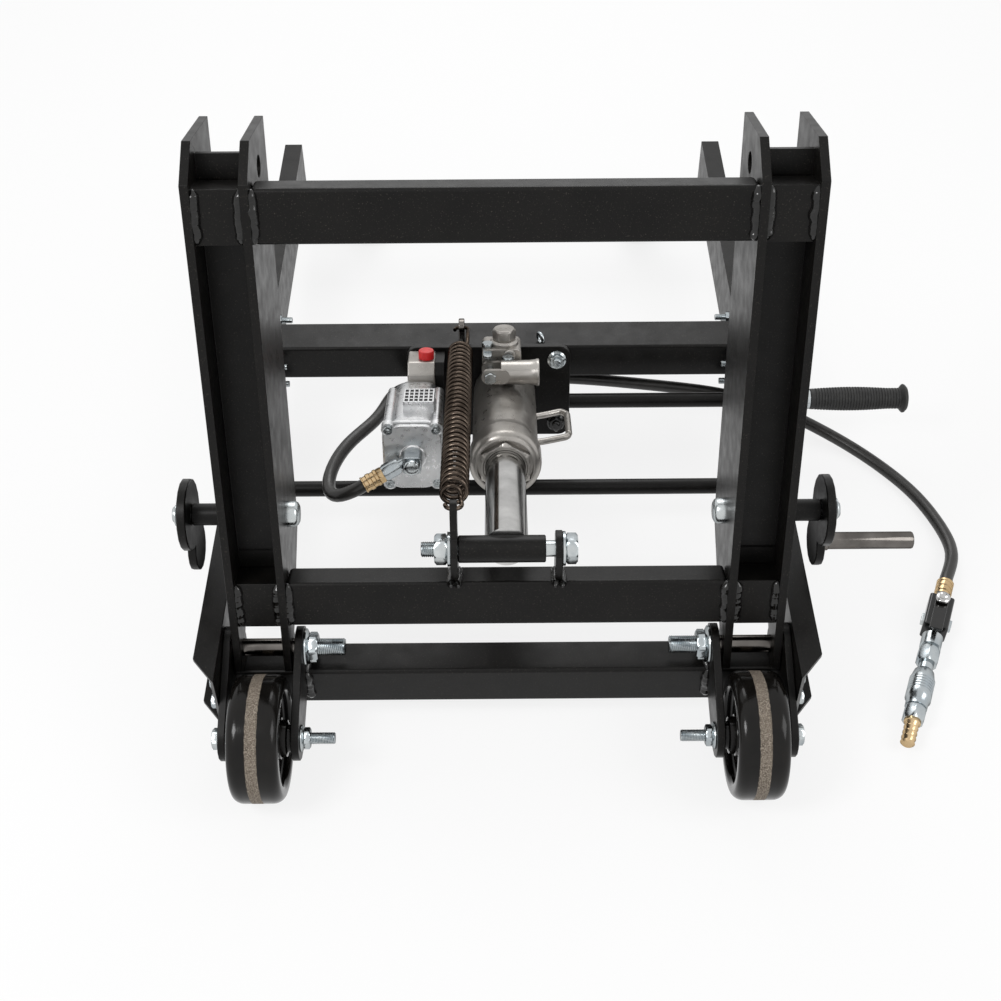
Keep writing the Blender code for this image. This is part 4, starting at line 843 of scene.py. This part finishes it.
def build_arms():
    """Feet that close the arms' webs, and the beads where the arms meet the cross tubes."""
    seed = 40
    for label, side in SIDES.items():
        inner, outer = reach("lift_arm_" + label, LIFT)
        near, far = sorted((side * (inner + ARM_WALL - 0.0005), side * (outer - ARM_WALL + 0.0005)))
        foot = box((near, *WEB_FOOT_LOW), (far, *WEB_FOOT_HIGH))
        add("arm_web_foot_" + label, foot, "paint", "lift_frame", LIFT)
        for name in ("lower_cross_tube", "top_cross_tube"):
            low, high = span(name, LIFT)
            front = high.z - BEAD_SINK
            for x in (inner - BEAD_SINK, inner + ARM_WALL + BEAD_SINK, outer - ARM_WALL - BEAD_SINK):
                seed += 1
                ends = ((side * x, low.y + BEAD_SINK, front), (side * x, high.y, front))
                weld(f"{name}_weld_{seed}", *ends, ARM_BEAD, "lift_frame", seed)


EAR_BEAD = 0.0044
BOLT_RADIUS = 0.008
BOLT_FLATS = 0.0135
BOLT_WASHER = 0.0030


def build_ears():
    """Beads at the feet of the ears, and the ram's bolt with its washers and nut."""
    seed = 70
    for name in ("ear_left", "ear_right"):
        low, high = span(name, LIFT)
        for x in (low.x, high.x):
            seed += 1
            ends = ((x, low.y, low.z + 0.004), (x, low.y, high.z))
            weld(f"{name}_weld_{seed}", *ends, EAR_BEAD, "lift_frame", seed)
    low, high = span("clevis_bolt", LIFT)
    seat = span("ear_right", LIFT)[1].x
    head = seat + BOLT_WASHER
    shapes = [turned([(-seat, BOLT_RADIUS), (seat, BOLT_RADIUS)])]
    for way in (-1, 1):
        shapes.append(washer(way * seat, way * head, 0.0085, 0.017))
    shapes.append(turned(hex_rows(head, high.x, BOLT_FLATS)))
    shapes.append(turned(hex_rows(-head, -head - BOLT_FLATS * 0.95, BOLT_FLATS)))
    shapes.append(thread(low.x, -head, 0.0078, 0.002))
    add("clevis_bolt_set", shapes, "zinc", "lift_frame", on_axis("clevis_bolt", LIFT), ("clevis_bolt",))


PIN_RADIUS = 0.008
PIN_HEAD = 0.0128
COTTER_RADIUS = 0.010
COTTER_WIRE = 0.0011
COTTER_START = -2.2
COTTER_POINTS = 15


def build_lock_pins():
    """Lock pins with their spacers, washers and cotter rings."""
    for label, side in SIDES.items():
        node = "lock_pin_" + label
        inner, outer = reach(node, LIFT)
        arm_inner, arm_outer = reach("lift_arm_" + label, LIFT)
        link_inner, link_outer = reach("lock_link_" + label, LIFT)
        place = on_axis(node, LIFT, side < 0)
        rows = [(inner, 0.0085), (inner + 0.0015, 0.0112), (inner + 0.004, PIN_HEAD), (arm_inner, PIN_HEAD),
                (arm_inner, PIN_RADIUS), (outer - 0.001, PIN_RADIUS), (outer, 0.007)]
        spacer = washer(arm_outer, link_inner - 0.0004, 0.0078, 0.011, 0.03)
        add(node + "_spacer", spacer, "paint", "lift_frame", place)
        ring = washer(link_outer + 0.0002, link_outer + 0.0024, 0.0082, 0.0135)
        add(node + "_turned", [turned(rows), ring], "zinc", "lift_frame", place, (node,))
        turns = [COTTER_START + pi * i / 8 for i in range(COTTER_POINTS)]
        cotter = [(outer - 0.0035, COTTER_RADIUS * cos(t) + 0.001, COTTER_RADIUS * sin(t)) for t in turns]
        curve_piece("cotter_" + label, cotter, COTTER_WIRE, "zinc", "lift_frame", place)


PEDAL_CAP = 0.009


def build_pedal():
    """Pedal rod with its collar."""
    low, high = span("pedal_rod")
    radius = (high.z - low.z) / 2
    end = high.x + PEDAL_CAP
    rows = [(low.x, radius * 1.12), (low.x + 0.006, radius * 1.12), (low.x + 0.0075, radius),
            (end - 0.002, radius), (end - 0.0006, radius * 0.93), (end, radius * 0.8)]
    add("pedal_bar", turned(rows), "dark_steel", "lock_right", on_axis("pedal_rod"), ("pedal_rod",))


# Jack unit

def lengthwise(profile, segments, x=0.0, z=0.0, closed=False):
    """Turned solid whose axis lies along the jack."""
    matrix = Matrix.Translation((x, 0, z)) @ Matrix.Rotation(pi / 2, 4, "Z")
    return turned(profile, segments, closed, matrix)


def upright(profile, x, y):
    """Turned solid whose axis stands up from the jack."""
    matrix = Matrix.Translation((x, y, 0)) @ Matrix.Rotation(-pi / 2, 4, "Y")
    return turned(profile, matrix=matrix)


def add_to_jack(name, shapes, finish, *nodes, **edges):
    """Piece that rides on the jack, built on its axes."""
    return add(name, shapes, finish, "jack", JACK, nodes, **edges)


SLEEVE_PLAY = 0.009
SLEEVE_BORE = 0.0083


def build_ram():
    """Ram rod, and the cross sleeve, which leaves a little of its bolt bare beside the right ear."""
    high = span("ram_rod", JACK)[1]
    radius = high.x
    rows = [(0.004, radius), (high.y - 0.002, radius), (high.y, radius - 0.002)]
    add("ram_bar", lengthwise(rows, 96), "chrome", "ram", JACK, ("ram_rod",))
    low, high = span("ram_sleeve", JACK)
    radius = high.z
    end = high.x - SLEEVE_PLAY
    rows = [(low.x, SLEEVE_BORE), (low.x, radius - 0.001), (low.x + 0.001, radius), (end - 0.001, radius),
            (end, radius - 0.001), (end, SLEEVE_BORE)]
    add("ram_cross_sleeve", turned(rows, 64, True), "paint", "ram", JACK, ("ram_sleeve",))


RING_RIM = 0.010
RING_LENGTH = 0.034
GLAND_FLATS = 0.0262
GLAND_PROUD = 0.0045


def build_cylinder():
    """Cylinder with a swollen, rolled front ring, and the hex gland that stands proud of it."""
    high = span("jack_cylinder", JACK)[1]
    radius = high.x
    face = span("gland_nut", JACK)[0].y
    front = face + GLAND_PROUD
    swell = front + RING_LENGTH
    barrel = radius - 0.0030
    bore = span("ram_rod", JACK)[1].x + 0.0004
    corner = GLAND_FLATS * HEX_CORNER
    recess = corner + 0.0006
    rows = [(high.y, bore), (high.y, barrel), (swell + 0.012, barrel), (swell + 0.006, barrel + 0.0004),
            (swell, radius - 0.0010), (swell - 0.005, radius), (front + RING_RIM + 0.002, radius)]
    rows += arc(front + RING_RIM, radius - RING_RIM, RING_RIM, 90, 172, 10)
    rows += [(front, recess + 0.0012), (front + 0.001, recess)]
    rows += [(front + 0.004, recess), (front + 0.004, bore)]
    barrel_shape = lengthwise(rows, 96, closed=True)
    add_to_jack("cylinder_casting", barrel_shape, "cast", "jack_cylinder", angle=30)
    rows = [(front + 0.006, bore), (front + 0.006, GLAND_FLATS, corner),
            (face + 0.0022, GLAND_FLATS, corner), (face + 0.0004, GLAND_FLATS, GLAND_FLATS * 1.02),
            (face, GLAND_FLATS * 0.95), (face, bore + 0.0024), (face + 0.001, bore + 0.0016),
            (face + 0.001, bore)]
    add_to_jack("gland_hex", lengthwise(rows, 96, closed=True), "cast", "gland_nut", angle=25)


PLATE_NUTS = ((0.062, 0.041, "zinc"), (0.062, -0.041, "weld"))


def build_plate_nuts():
    """Flange nuts on the base plate, the upper one bare and the lower one painted."""
    front = span("jack_base_plate", JACK)[0].y
    for number, (x, z, finish) in enumerate(PLATE_NUTS):
        place = JACK @ Matrix.Translation((x, front, z)) @ Matrix.Rotation(-pi / 2, 4, "Z")
        shapes = [flange_nut(0.0, 0.0080, 0.0090), thread(0.004, 0.0135, 0.005, 0.00125)]
        add(f"plate_nut_{number}", shapes, finish, "jack", place)


PUMP_HEIGHT = 0.032
PUMP_DEPTH = 0.040
LINK_X = -0.019


def build_pump():
    """Pump block with its collar, hex cap and plunger, the link on top and the link's bolt."""
    high = span("pump_block", JACK)[1]
    cast = span("jack_cylinder", JACK)[1].z
    top = cast + PUMP_HEIGHT
    back = high.y
    front = back - PUMP_DEPTH
    centre_y = (front + back) / 2
    outline = rounded_box(0.0225, (top - cast) / 2, 0.006, 6, (-0.003, (top + cast) / 2))
    collar = upright([(top - 0.004, 0.0165), (top + 0.003, 0.0165), (top + 0.0055, 0.0145)], 0.0, centre_y)
    cap = upright(hex_rows(top + 0.004, high.z, 0.0118), 0.0, centre_y)
    rows = [(front - 0.0048, 0.0062), (front - 0.0040, 0.0070), (front + 0.002, 0.0070)]
    shapes = [plate(outline, front, back, "Y"), collar, cap, lengthwise(rows, 32, 0.006, top - 0.006)]
    add_to_jack("pump_casting", shapes, "cast", "pump_block", rounding=0.0012)
    outline = rounded_box(0.0052, 0.017, 0.005, 6, (LINK_X, front + 0.001))
    add_to_jack("pump_link", plate(outline, top - 0.0045, top - 0.001, "Z"), "zinc", rounding=0.0008)
    build_socket(upright(hex_rows(top - 0.001, top + 0.005, 0.0058), LINK_X, front + 0.010))


SOCKET_PIVOT = -0.016
SOCKET_SHIFT = 0.008
SOCKET_LIP = 0.006
SOCKET_BORE = 0.0093
SOCKET_HEAD = 0.0055


def build_socket(link_bolt):
    """Flared handle socket between two lugs, its clamp bolt, and the pivot's bolts with the pump link's."""
    low, high = span("handle_socket", JACK)
    z = (low.z + high.z) / 2
    y = (low.y + high.y) / 2 - SOCKET_SHIFT
    place = JACK @ Matrix.Translation((SOCKET_PIVOT, y, z))
    length = high.x - SOCKET_PIVOT + SOCKET_LIP
    flare = (high.y - low.y) / 2
    radius = flare - 0.0016
    rows = [(0.011, radius * 0.8), (0.0125, radius), (length - 0.012, radius), (length - 0.004, flare * 0.96),
            (length - 0.003, flare), (length - 0.0006, flare), (length, flare - 0.0008),
            (length, SOCKET_BORE + 0.001), (length - 0.0015, SOCKET_BORE), (length - 0.034, SOCKET_BORE)]
    lug = rounded_box(0.0160, 0.0085, 0.0080, 8, (0.006, 0.0))
    shapes = [turned(rows, 64)]
    for way in (-1, 1):
        shapes.append(plate(lug, way * (radius - 0.0052), way * radius, "Y"))
    add("socket_casting", shapes, "cast", "pump_socket", place, ("handle_socket",))
    stand = Matrix.Translation((0.020, radius * 0.55, radius * 0.78)) @ Matrix.Rotation(-pi / 2, 4, "Y")
    clamp = turned(hex_rows(0.0, SOCKET_HEAD, 0.0060), matrix=stand)
    add("socket_bolt", clamp, "zinc", "pump_socket", place)
    bolts = []
    for end in (y - radius, y + radius + SOCKET_HEAD):
        bolts.append(lengthwise(hex_rows(end - SOCKET_HEAD, end, 0.0062), 48, SOCKET_PIVOT, z))
    bolts.append(lengthwise([(y - radius, 0.0040), (y + radius, 0.0040)], 24, SOCKET_PIVOT, z))
    add_to_jack("pump_bolts", [*bolts, link_bolt], "zinc")


VALVE_RECESS = 0.011


def build_valve_block():
    """Valve block with a sunk black side, and its filler plug."""
    low, high = span("valve_block", JACK)
    split = high.x - VALVE_RECESS
    slope = [(low.y, low.z), (high.y, low.z), (high.y, high.z)]
    slope += [(low.y + 0.010, high.z), (low.y, high.z - 0.012)]
    add_to_jack("valve_casting", plate(slope, low.x, split), "cast", "valve_block", rounding=0.0022)
    sunk = [(y if y == high.y else y + 0.002, z - 0.001) for y, z in slope]
    add_to_jack("valve_recess", plate(sunk, split - 0.001, high.x), "paint", rounding=0.0012)
    low, high = span("filler_plug", JACK)
    radius = (high.x - low.x) / 2
    rows = [(low.z, radius), (high.z - 0.0022, radius), (high.z - 0.0006, radius * 0.93),
            (high.z, radius * 0.80)]
    cap = upright(rows, (low.x + high.x) / 2, (low.y + high.y) / 2)
    add_to_jack("filler_cap", cap, "red", "filler_plug")


SCREW_INSET = 0.0055
SCREW_RADIUS = 0.0050
TUBE_RADIUS = 0.0058


def build_motor():
    """Die-cast motor: smooth body, four screw tubes, layered cover with ears."""
    low, high = span("air_motor_body", JACK)
    cover_low, cover_high = span("air_motor_cover", JACK)
    front = cover_low.y
    centre_x = (low.x + high.x) / 2
    half_w = (high.x - low.x) / 2
    half_h = (high.z - low.z) / 2
    rings = []
    for y, inset in ((low.y, 0.0012), (low.y + 0.004, 0.0012), (low.y + 0.0045, 0.0), (low.y + 0.010, 0.0),
                     (low.y + 0.0105, 0.0018), (high.y - 0.010, 0.0018), (high.y - 0.003, 0.0030),
                     (high.y, 0.0075)):
        outline = rounded_box(half_w - inset, half_h - inset, half_w * 0.72 - inset, 10)
        rings.append([(centre_x + x, y, z) for x, z in outline])
    tube_end = high.y - 0.026
    tube = [(low.y, 0.0062), (tube_end, TUBE_RADIUS)]
    tube += [(tube_end + rise * 0.005, TUBE_RADIUS * share) for share, rise in arc(0, 0, 1.0, 16, 80, 5)]
    ear = [(front + 0.0035, 0.0068), (front + 0.0028, 0.0075), (cover_high.y, 0.0078)]
    head = [(front, 0.0028), (front, 0.0044), (front + 0.0006, SCREW_RADIUS), (front + 0.0032, SCREW_RADIUS)]
    socket = hex_rows(front - 0.0002, front + 0.0002, 0.0022)
    body = [loft(rings)]
    ears = []
    screws = []
    for sx in (-1, 1):
        for sz in (-1, 1):
            corner = (centre_x + sx * (half_w - SCREW_INSET), sz * (half_h - SCREW_INSET))
            body.append(lengthwise(tube, 32, *corner))
            ears.append(lengthwise(ear, 32, *corner))
            screws += [lengthwise(head, 32, *corner), lengthwise(socket, 24, *corner)]
    add_to_jack("motor_casting", body, "aluminium", "air_motor_body", angle=28)

    def layer(grow, corner, start, end):
        outline = rounded_box(half_w + grow, half_h + grow, half_w * corner, 10, (centre_x, 0.0))
        return plate(outline, start, end, "Y")

    boss = lengthwise([(front, 0.0135), (front + 0.001, 0.0150), (front + 0.003, 0.0155)], 48, centre_x)
    layers = [layer(-0.0005, 0.62, front + 0.0015, front + 0.0078),
              layer(0.0018, 0.62, front + 0.0088, cover_high.y), boss]
    add_to_jack("motor_cover", layers + ears, "aluminium", "air_motor_cover", rounding=0.0007)
    add_to_jack("motor_gasket", layer(-0.0012, 0.6, front + 0.0076, front + 0.0090), "rubber")
    add_to_jack("motor_screws", screws, "zinc")


EXHAUST_SHIFT = Vector((0.006, -0.006, 0.0))
EXHAUST_COLUMNS = 6
EXHAUST_ROWS = 4
EXHAUST_BAR = 0.0018


def build_exhaust():
    """Raised pad with a grid of small square ports, and a black sheet on the ports' floors as painted shade.
    """
    low, high = (corner + EXHAUST_SHIFT for corner in span("exhaust_block", JACK))
    half = EXHAUST_BAR / 2
    floor_z = high.z - 0.0035
    foot = floor_z - 0.001
    shapes = [box((low.x, low.y, low.z - 0.010), (high.x, high.y, floor_z))]
    for i in range(EXHAUST_COLUMNS + 1):
        x = low.x + half + (high.x - low.x - EXHAUST_BAR) * i / EXHAUST_COLUMNS
        shapes.append(box((x - half, low.y, foot), (x + half, high.y, high.z)))
    for i in range(EXHAUST_ROWS + 1):
        y = low.y + half + (high.y - low.y - EXHAUST_BAR) * i / EXHAUST_ROWS
        shapes.append(box((low.x, y - half, foot), (high.x, y + half, high.z - 0.0002)))
    add_to_jack("exhaust_grid", shapes, "aluminium", "exhaust_block", rounding=0.0003)
    # Black sheet laid on the ports' floors: painted shade, so the shallow ports look like deep dark openings.
    dark = box((low.x + EXHAUST_BAR, low.y + EXHAUST_BAR, floor_z - 0.0005),
               (high.x - EXHAUST_BAR, high.y - EXHAUST_BAR, floor_z + 0.0006))
    add_to_jack("exhaust_port_shade", dark, "rubber")


BANJO_CROWN = 0.0088


def build_banjo():
    """Square banjo with its domed bolt."""
    low, high = span("banjo_fitting", JACK)
    cover = span("air_motor_cover", JACK)[0].y
    centre_x = (low.x + high.x) / 2
    half = (high.x - low.x) / 2
    head = cover - 2 * half
    block = plate(rounded_box(half, half, half * 0.3, 5, (centre_x, 0.0)), head + 0.0005, cover, "Y")
    rows = [(head + 0.001, BANJO_CROWN), (low.y + 0.0030, BANJO_CROWN), (low.y + 0.0012, BANJO_CROWN * 0.90),
            (low.y + 0.0003, BANJO_CROWN * 0.68), (low.y, BANJO_CROWN * 0.35)]
    bolt = lengthwise(rows, 48, centre_x)
    add_to_jack("banjo_body", [block, bolt], "zinc", "banjo_fitting", rounding=0.0008)


HANDLE_BEND = 0.011


def build_carry_handle():
    """Bent wire handle on the cylinder's side."""
    low, high = span("carry_handle", JACK)
    wire = (high.z - low.z) / 2
    back = high.y - wire
    front = low.y + wire
    corner = high.x - wire - HANDLE_BEND
    knots = [(low.x - 0.004, back - 0.012), (low.x + 0.006, back - 0.008)]
    knots += arc(corner, back - HANDLE_BEND, HANDLE_BEND, 80, 0, 5)
    knots += arc(corner, front + 0.010 + HANDLE_BEND, HANDLE_BEND, 0, -60, 5)
    knots += [(low.x + 0.004, front + 0.002), (low.x - 0.004, front)]
    path = smooth_path([Vector((x, y, 0.0)) for x, y in knots], 60)
    curve_piece("carry_wire", path, wire + 0.0005, "cast", "jack", JACK, ("carry_handle",))


# Return spring

SPRING_WIRE = 0.0023
SPRING_RADIUS = 0.0125
SPRING_TURNS = 34
SPRING_TAIL = 0.066
SPRING_FIRST = 0.026
COIL_POINTS = 28
HOOK_PLACE = Vector((0.0, 0.160, 0.003))
HOOK_BEND = 0.008
HOOK_GAP = 0.0016
ANCHOR_HEIGHT = 0.147


def build_spring():
    """Extension spring: hook on the tall ear, close coils, long tail and hook on the anchor."""
    hook = LIFT @ HOOK_PLACE
    low, high = span("spring_anchor")
    anchor = BASE @ Vector(((low.x + high.x) / 2, (low.y + high.y) / 2, ANCHOR_HEIGHT))
    start = Vector((anchor.x, hook.y, hook.z))
    length = (anchor - start).length
    forward = (anchor - start) / length
    across = Vector((1, 0, 0))
    up = across.cross(forward)

    def spot(far, out, rise):
        return start + forward * far + across * out + up * rise

    half_turn = [pi * i / 16 for i in range(17)]
    bend = [(HOOK_GAP + HOOK_BEND * (1 - sin(turn)), HOOK_BEND * cos(turn)) for turn in half_turn]
    coil = [spot(far, -out, 0.0) for far, out in bend]
    last = length - SPRING_TAIL
    steps = COIL_POINTS * SPRING_TURNS
    for i in range(steps + 1):
        turn = 2 * pi * i / COIL_POINTS
        grow = min(1.0, (i + COIL_POINTS / 2) / COIL_POINTS, (steps - i + COIL_POINTS / 2) / COIL_POINTS)
        far = SPRING_FIRST + (last - SPRING_FIRST) * i / steps
        coil.append(spot(far, SPRING_RADIUS * grow * cos(turn), SPRING_RADIUS * grow * sin(turn)))
    tail = [coil[-1]]
    tail += [spot(length - SPRING_TAIL * part, HOOK_BEND, 0.007) for part in (0.85, 0.7, 0.5)]
    tail += [spot(length - far, out, 0.0) for far, out in bend]
    mesh = wire_mesh("coil", coil, SPRING_WIRE, 3)
    piece = link_piece("return_spring_wire", mesh, "spring", "base", None, ("return_spring",))
    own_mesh(piece)
    link_piece("return_spring_tail", wire_mesh("tail", tail, SPRING_WIRE, 3), "spring", "base")


# Stored handle

GRIP_RADIUS = 0.0145
GRIP_RIBS = 30
RIB_DEPTH = 0.0008


def build_handle():
    """Bar with its ribbed rubber grip and bright collar."""
    low, high = span("handle_bar")
    radius = (high.z - low.z) / 2
    place = on_axis("handle_bar")
    rows = [(low.x, radius * 0.85), (low.x + 0.0012, radius), (high.x, radius)]
    add("handle_rod", turned(rows), "paint", "stored_handle", place, ("handle_bar",))
    low, high = span("handle_grip")
    flare = (high.z - low.z) / 2
    collar = washer(low.x - 0.006, low.x + 0.0005, 0.0092, 0.0120)
    add("grip_collar", collar, "zinc", "stored_handle", place)
    begin = low.x + 0.005
    finish = high.x - 0.010
    pitch = (finish - begin) / GRIP_RIBS
    rows = [(low.x, GRIP_RADIUS * 0.80), (low.x + 0.0008, GRIP_RADIUS * 0.86), (begin, GRIP_RADIUS * 0.88)]
    for i in range(GRIP_RIBS):
        here = begin + i * pitch
        swell = GRIP_RADIUS * (0.88 + 0.12 * sin(pi * min(1.0, (i + 1) / GRIP_RIBS * 1.15)))
        rows += [(here + pitch * 0.12, swell - RIB_DEPTH), (here + pitch * 0.40, swell - RIB_DEPTH),
                 (here + pitch * 0.55, swell), (here + pitch, swell)]
    rows += [(finish + 0.003, flare - 0.001), (finish + 0.0042, flare), (high.x - 0.004, flare - 0.0004),
             (high.x - 0.0015, flare - 0.003), (high.x, flare - 0.008)]
    add("grip_sleeve", turned(rows), "rubber", "stored_handle", place, ("handle_grip",))


# Air line

CHAIN_START = Vector((0.497, 0.238, 0.0145))
CHAIN_DIRECTION = Vector((-0.372, -0.928, 0.0)).normalized()
FERRULE_DIRECTION = Vector((-0.86, -0.40, -0.30)).normalized()
FERRULE_LENGTH = 0.046
FERRULE_RADIUS = 0.0095
FERRULE_FLATS = 0.0085
STEM_LENGTH = 0.021
HOSE_RADIUS = 0.0074
HOSE_POINTS = 160
HOSE_GAP = 0.0003
HOSE_ROUTE = (
    (-0.192, 0.268, 0.126), (-0.197, 0.305, 0.124), (-0.180, 0.352, 0.128), (-0.148, 0.400, 0.122),
    (-0.137, 0.455, 0.104), (-0.123, 0.505, 0.078), (-0.066, 0.540, 0.060), (0.010, 0.548, 0.057),
    (0.090, 0.546, 0.056), (0.180, 0.540, 0.050), (0.270, 0.533, 0.041), (0.340, 0.520, 0.027),
    (0.400, 0.490, 0.014), (0.452, 0.444, 0.0085), (0.494, 0.384, 0.0080), (0.515, 0.322, 0.0085),
)
EASING_ROUNDS = 14


def along(direction):
    """Rotation that lays X along a direction."""
    return direction.to_track_quat("X", "Z").to_matrix().to_4x4()


def crimp_rows(x0, x1, radius, bands):
    """Crimped sleeve with pressed bands."""
    rim = 0.0006
    waist = radius * 0.9
    rows = [(x0, waist), (x0 + rim, radius)]
    pitch = (x1 - x0 - 2 * rim) / bands
    for i in range(bands):
        here = x0 + rim + i * pitch
        rows += [(here + pitch * 0.3, radius), (here + pitch * 0.4, waist), (here + pitch * 0.8, waist),
                 (here + pitch * 0.9, radius)]
    return rows + [(x1 - rim, radius), (x1, waist)]


def eased(points):
    """Even out tight bends as a stiff hose does, with both ends and their directions kept."""
    for _ in range(EASING_ROUNDS):
        triples = zip(points[1:], points[2:], points[3:])
        inner = [(before + 2 * here + after) / 4 for before, here, after in triples]
        points = [*points[:2], *inner[:len(points) - 4], *points[-2:]]
    return points


def build_air_line():
    """Steel stem and brass ferrule on the motor, the hose, and the fittings at its far end."""
    low, high = span("banjo_fitting", JACK)
    cover = span("air_motor_cover", JACK)[0].y
    banjo = JACK @ Vector((low.x, cover - HOSE_GAP - (high.x - low.x) / 2, 0.0))
    end_radius = FERRULE_FLATS * 0.7
    square = -FERRULE_DIRECTION.x
    start = banjo + FERRULE_DIRECTION * (HOSE_GAP + end_radius * (1 - square ** 2) ** 0.5) / square
    place = Matrix.Translation(start) @ along(FERRULE_DIRECTION)
    rows = [(-0.004, end_radius), (0.002, end_radius)] + hex_rows(0.0015, STEM_LENGTH, FERRULE_FLATS)
    add("motor_stem", turned(rows), "zinc", "jack", place)
    nut = turned(hex_rows(STEM_LENGTH - 0.0005, STEM_LENGTH + 0.007, FERRULE_FLATS * 0.92))
    sleeve = turned(crimp_rows(STEM_LENGTH + 0.006, FERRULE_LENGTH, FERRULE_RADIUS, 2))
    ferrule = add("motor_ferrule_crimped", [nut, sleeve], "brass", "jack", place, ("motor_ferrule",))
    begin = BASE.inverted() @ (start + FERRULE_DIRECTION * (FERRULE_LENGTH + HOSE_GAP))
    end = CHAIN_START - CHAIN_DIRECTION * HOSE_GAP * 2
    route = [begin, begin + FERRULE_DIRECTION * 0.022, *(Vector(point) for point in HOSE_ROUTE),
             end - CHAIN_DIRECTION * 0.048 + Vector((0.003, 0, -0.004)), end - CHAIN_DIRECTION * 0.020, end]
    points = [BASE @ point for point in eased(smooth_path(route, HOSE_POINTS))]
    mesh = wire_mesh("hose", points, HOSE_RADIUS, 6)
    hose = link_piece("air_hose_rubber", mesh, "hose", "base", None, ("air_hose",))
    fittings = build_valve()
    build_coupler()
    low = min(point.z for point in points)
    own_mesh(hose)


CHAIN = BASE @ Matrix.Translation(CHAIN_START) @ along(CHAIN_DIRECTION)
VALVE_START = 0.030
VALVE_END = 0.076
VALVE_HALF = 0.0135
DOME_RADIUS = 0.0078


def build_valve():
    """Lever valve with its ferrule, clips and the dome on its lever."""
    sleeve = turned(crimp_rows(0.0, VALVE_START * 0.75, FERRULE_RADIUS, 3))
    nut = turned(hex_rows(VALVE_START * 0.7, VALVE_START + 0.001, FERRULE_FLATS))
    crimp = add("valve_ferrule", [sleeve, nut], "brass", "base", CHAIN)
    outline = rounded_box(VALVE_HALF, VALVE_HALF * 0.95, 0.003, 5, (0.0, -VALVE_HALF * 0.05))
    body = plate(outline, VALVE_START, VALVE_END)
    valve = add("valve_body", body, "weld", "base", CHAIN, ("air_valve",), rounding=0.0012)
    lever = dress("valve_lever", "weld", 0.0008)
    top = span("valve_lever")[1].z - CHAIN_START.z
    rows = [(top - 0.001, DOME_RADIUS), (top + 0.0012, DOME_RADIUS), (top + 0.0022, DOME_RADIUS * 0.86),
            (top + 0.0026, DOME_RADIUS * 0.62), (top + 0.0018, DOME_RADIUS * 0.48),
            (top + 0.0014, DOME_RADIUS * 0.2)]
    dome = upright(rows, VALVE_START + VALVE_HALF * 0.95, 0.0)
    knob = add("valve_dome", dome, "chrome", NODES["valve_lever"]["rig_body"], CHAIN)
    clips = []
    for way in (-1, 1):
        near, far = sorted((way * (VALVE_HALF - 0.001), way * (VALVE_HALF + 0.0028)))
        clips.append(box((VALVE_START + 0.026, near, -0.004), (VALVE_START + 0.038, far, 0.004)))
    clip = add("valve_clips", clips, "zinc", "base", CHAIN, rounding=0.0008)
    return [crimp, valve, knob, lever, clip]


COUPLER_STAGE = 0.0158
COUPLER_RADIUS = 0.0135
COUPLER_SLIM = 0.00675
KNURLS = 5
KNURL_DEPTH = 0.0009
BARBS = 4


def build_coupler():
    """Quick coupler with a knurled ring, and its barbed tail."""
    low = VALVE_END + HOSE_GAP
    wide = COUPLER_RADIUS
    slim = COUPLER_SLIM

    def stage(count):
        return low + COUPLER_STAGE * count

    rows = [(low, slim), (stage(0.5), slim), (stage(0.5), wide * 0.84), (stage(1.5), wide * 0.84),
            (stage(1.6), slim)]
    rows += hex_rows(stage(1.7), stage(3), wide * 0.82)
    rows += [(stage(3), slim * 1.2), (stage(3.6), slim * 1.2), (stage(3.8), wide * 0.80),
             (stage(4.3), wide * 0.92), (stage(4.5), wide)]
    for i in range(KNURLS):
        here = stage(4.6 + 0.22 * i)
        rows += [(here, wide), (here + 0.0006, wide - KNURL_DEPTH), (here + 0.0018, wide - KNURL_DEPTH),
                 (here + 0.0024, wide)]
    rows += [(stage(6.2), wide), (stage(6.4), wide * 0.86), (stage(6.9), wide * 0.86)]
    rows += hex_rows(stage(6.9), stage(8.1), wide * 0.80)
    add("quick_coupler", turned(rows), "zinc", "base", CHAIN, ("air_coupler",))
    tail = [(stage(8.0), slim * 1.3), (stage(8.2), slim * 1.3)]
    barb = COUPLER_STAGE * 0.42
    for i in range(BARBS):
        here = stage(8.25) + i * barb
        tail += [(here, slim * 1.12), (here + barb * 0.8, slim * 0.86), (here + barb * 0.85, slim * 1.12)]
    tail += [(stage(10) - 0.0005, slim * 0.9), (stage(10), slim * 0.8)]
    add("barbed_tail", turned(tail), "brass", "base", CHAIN)


make_stage()
dress_nodes()
build_tie_rod()
build_axles()
build_rail_bolts()
build_tube_eye()
build_front_wheels()
build_base_welds()
build_arms()
build_ears()
build_lock_pins()
build_pedal()
build_ram()
build_cylinder()
build_plate_nuts()
build_pump()
build_valve_block()
build_motor()
build_exhaust()
build_banjo()
build_carry_handle()
build_spring()
build_handle()
build_air_line()
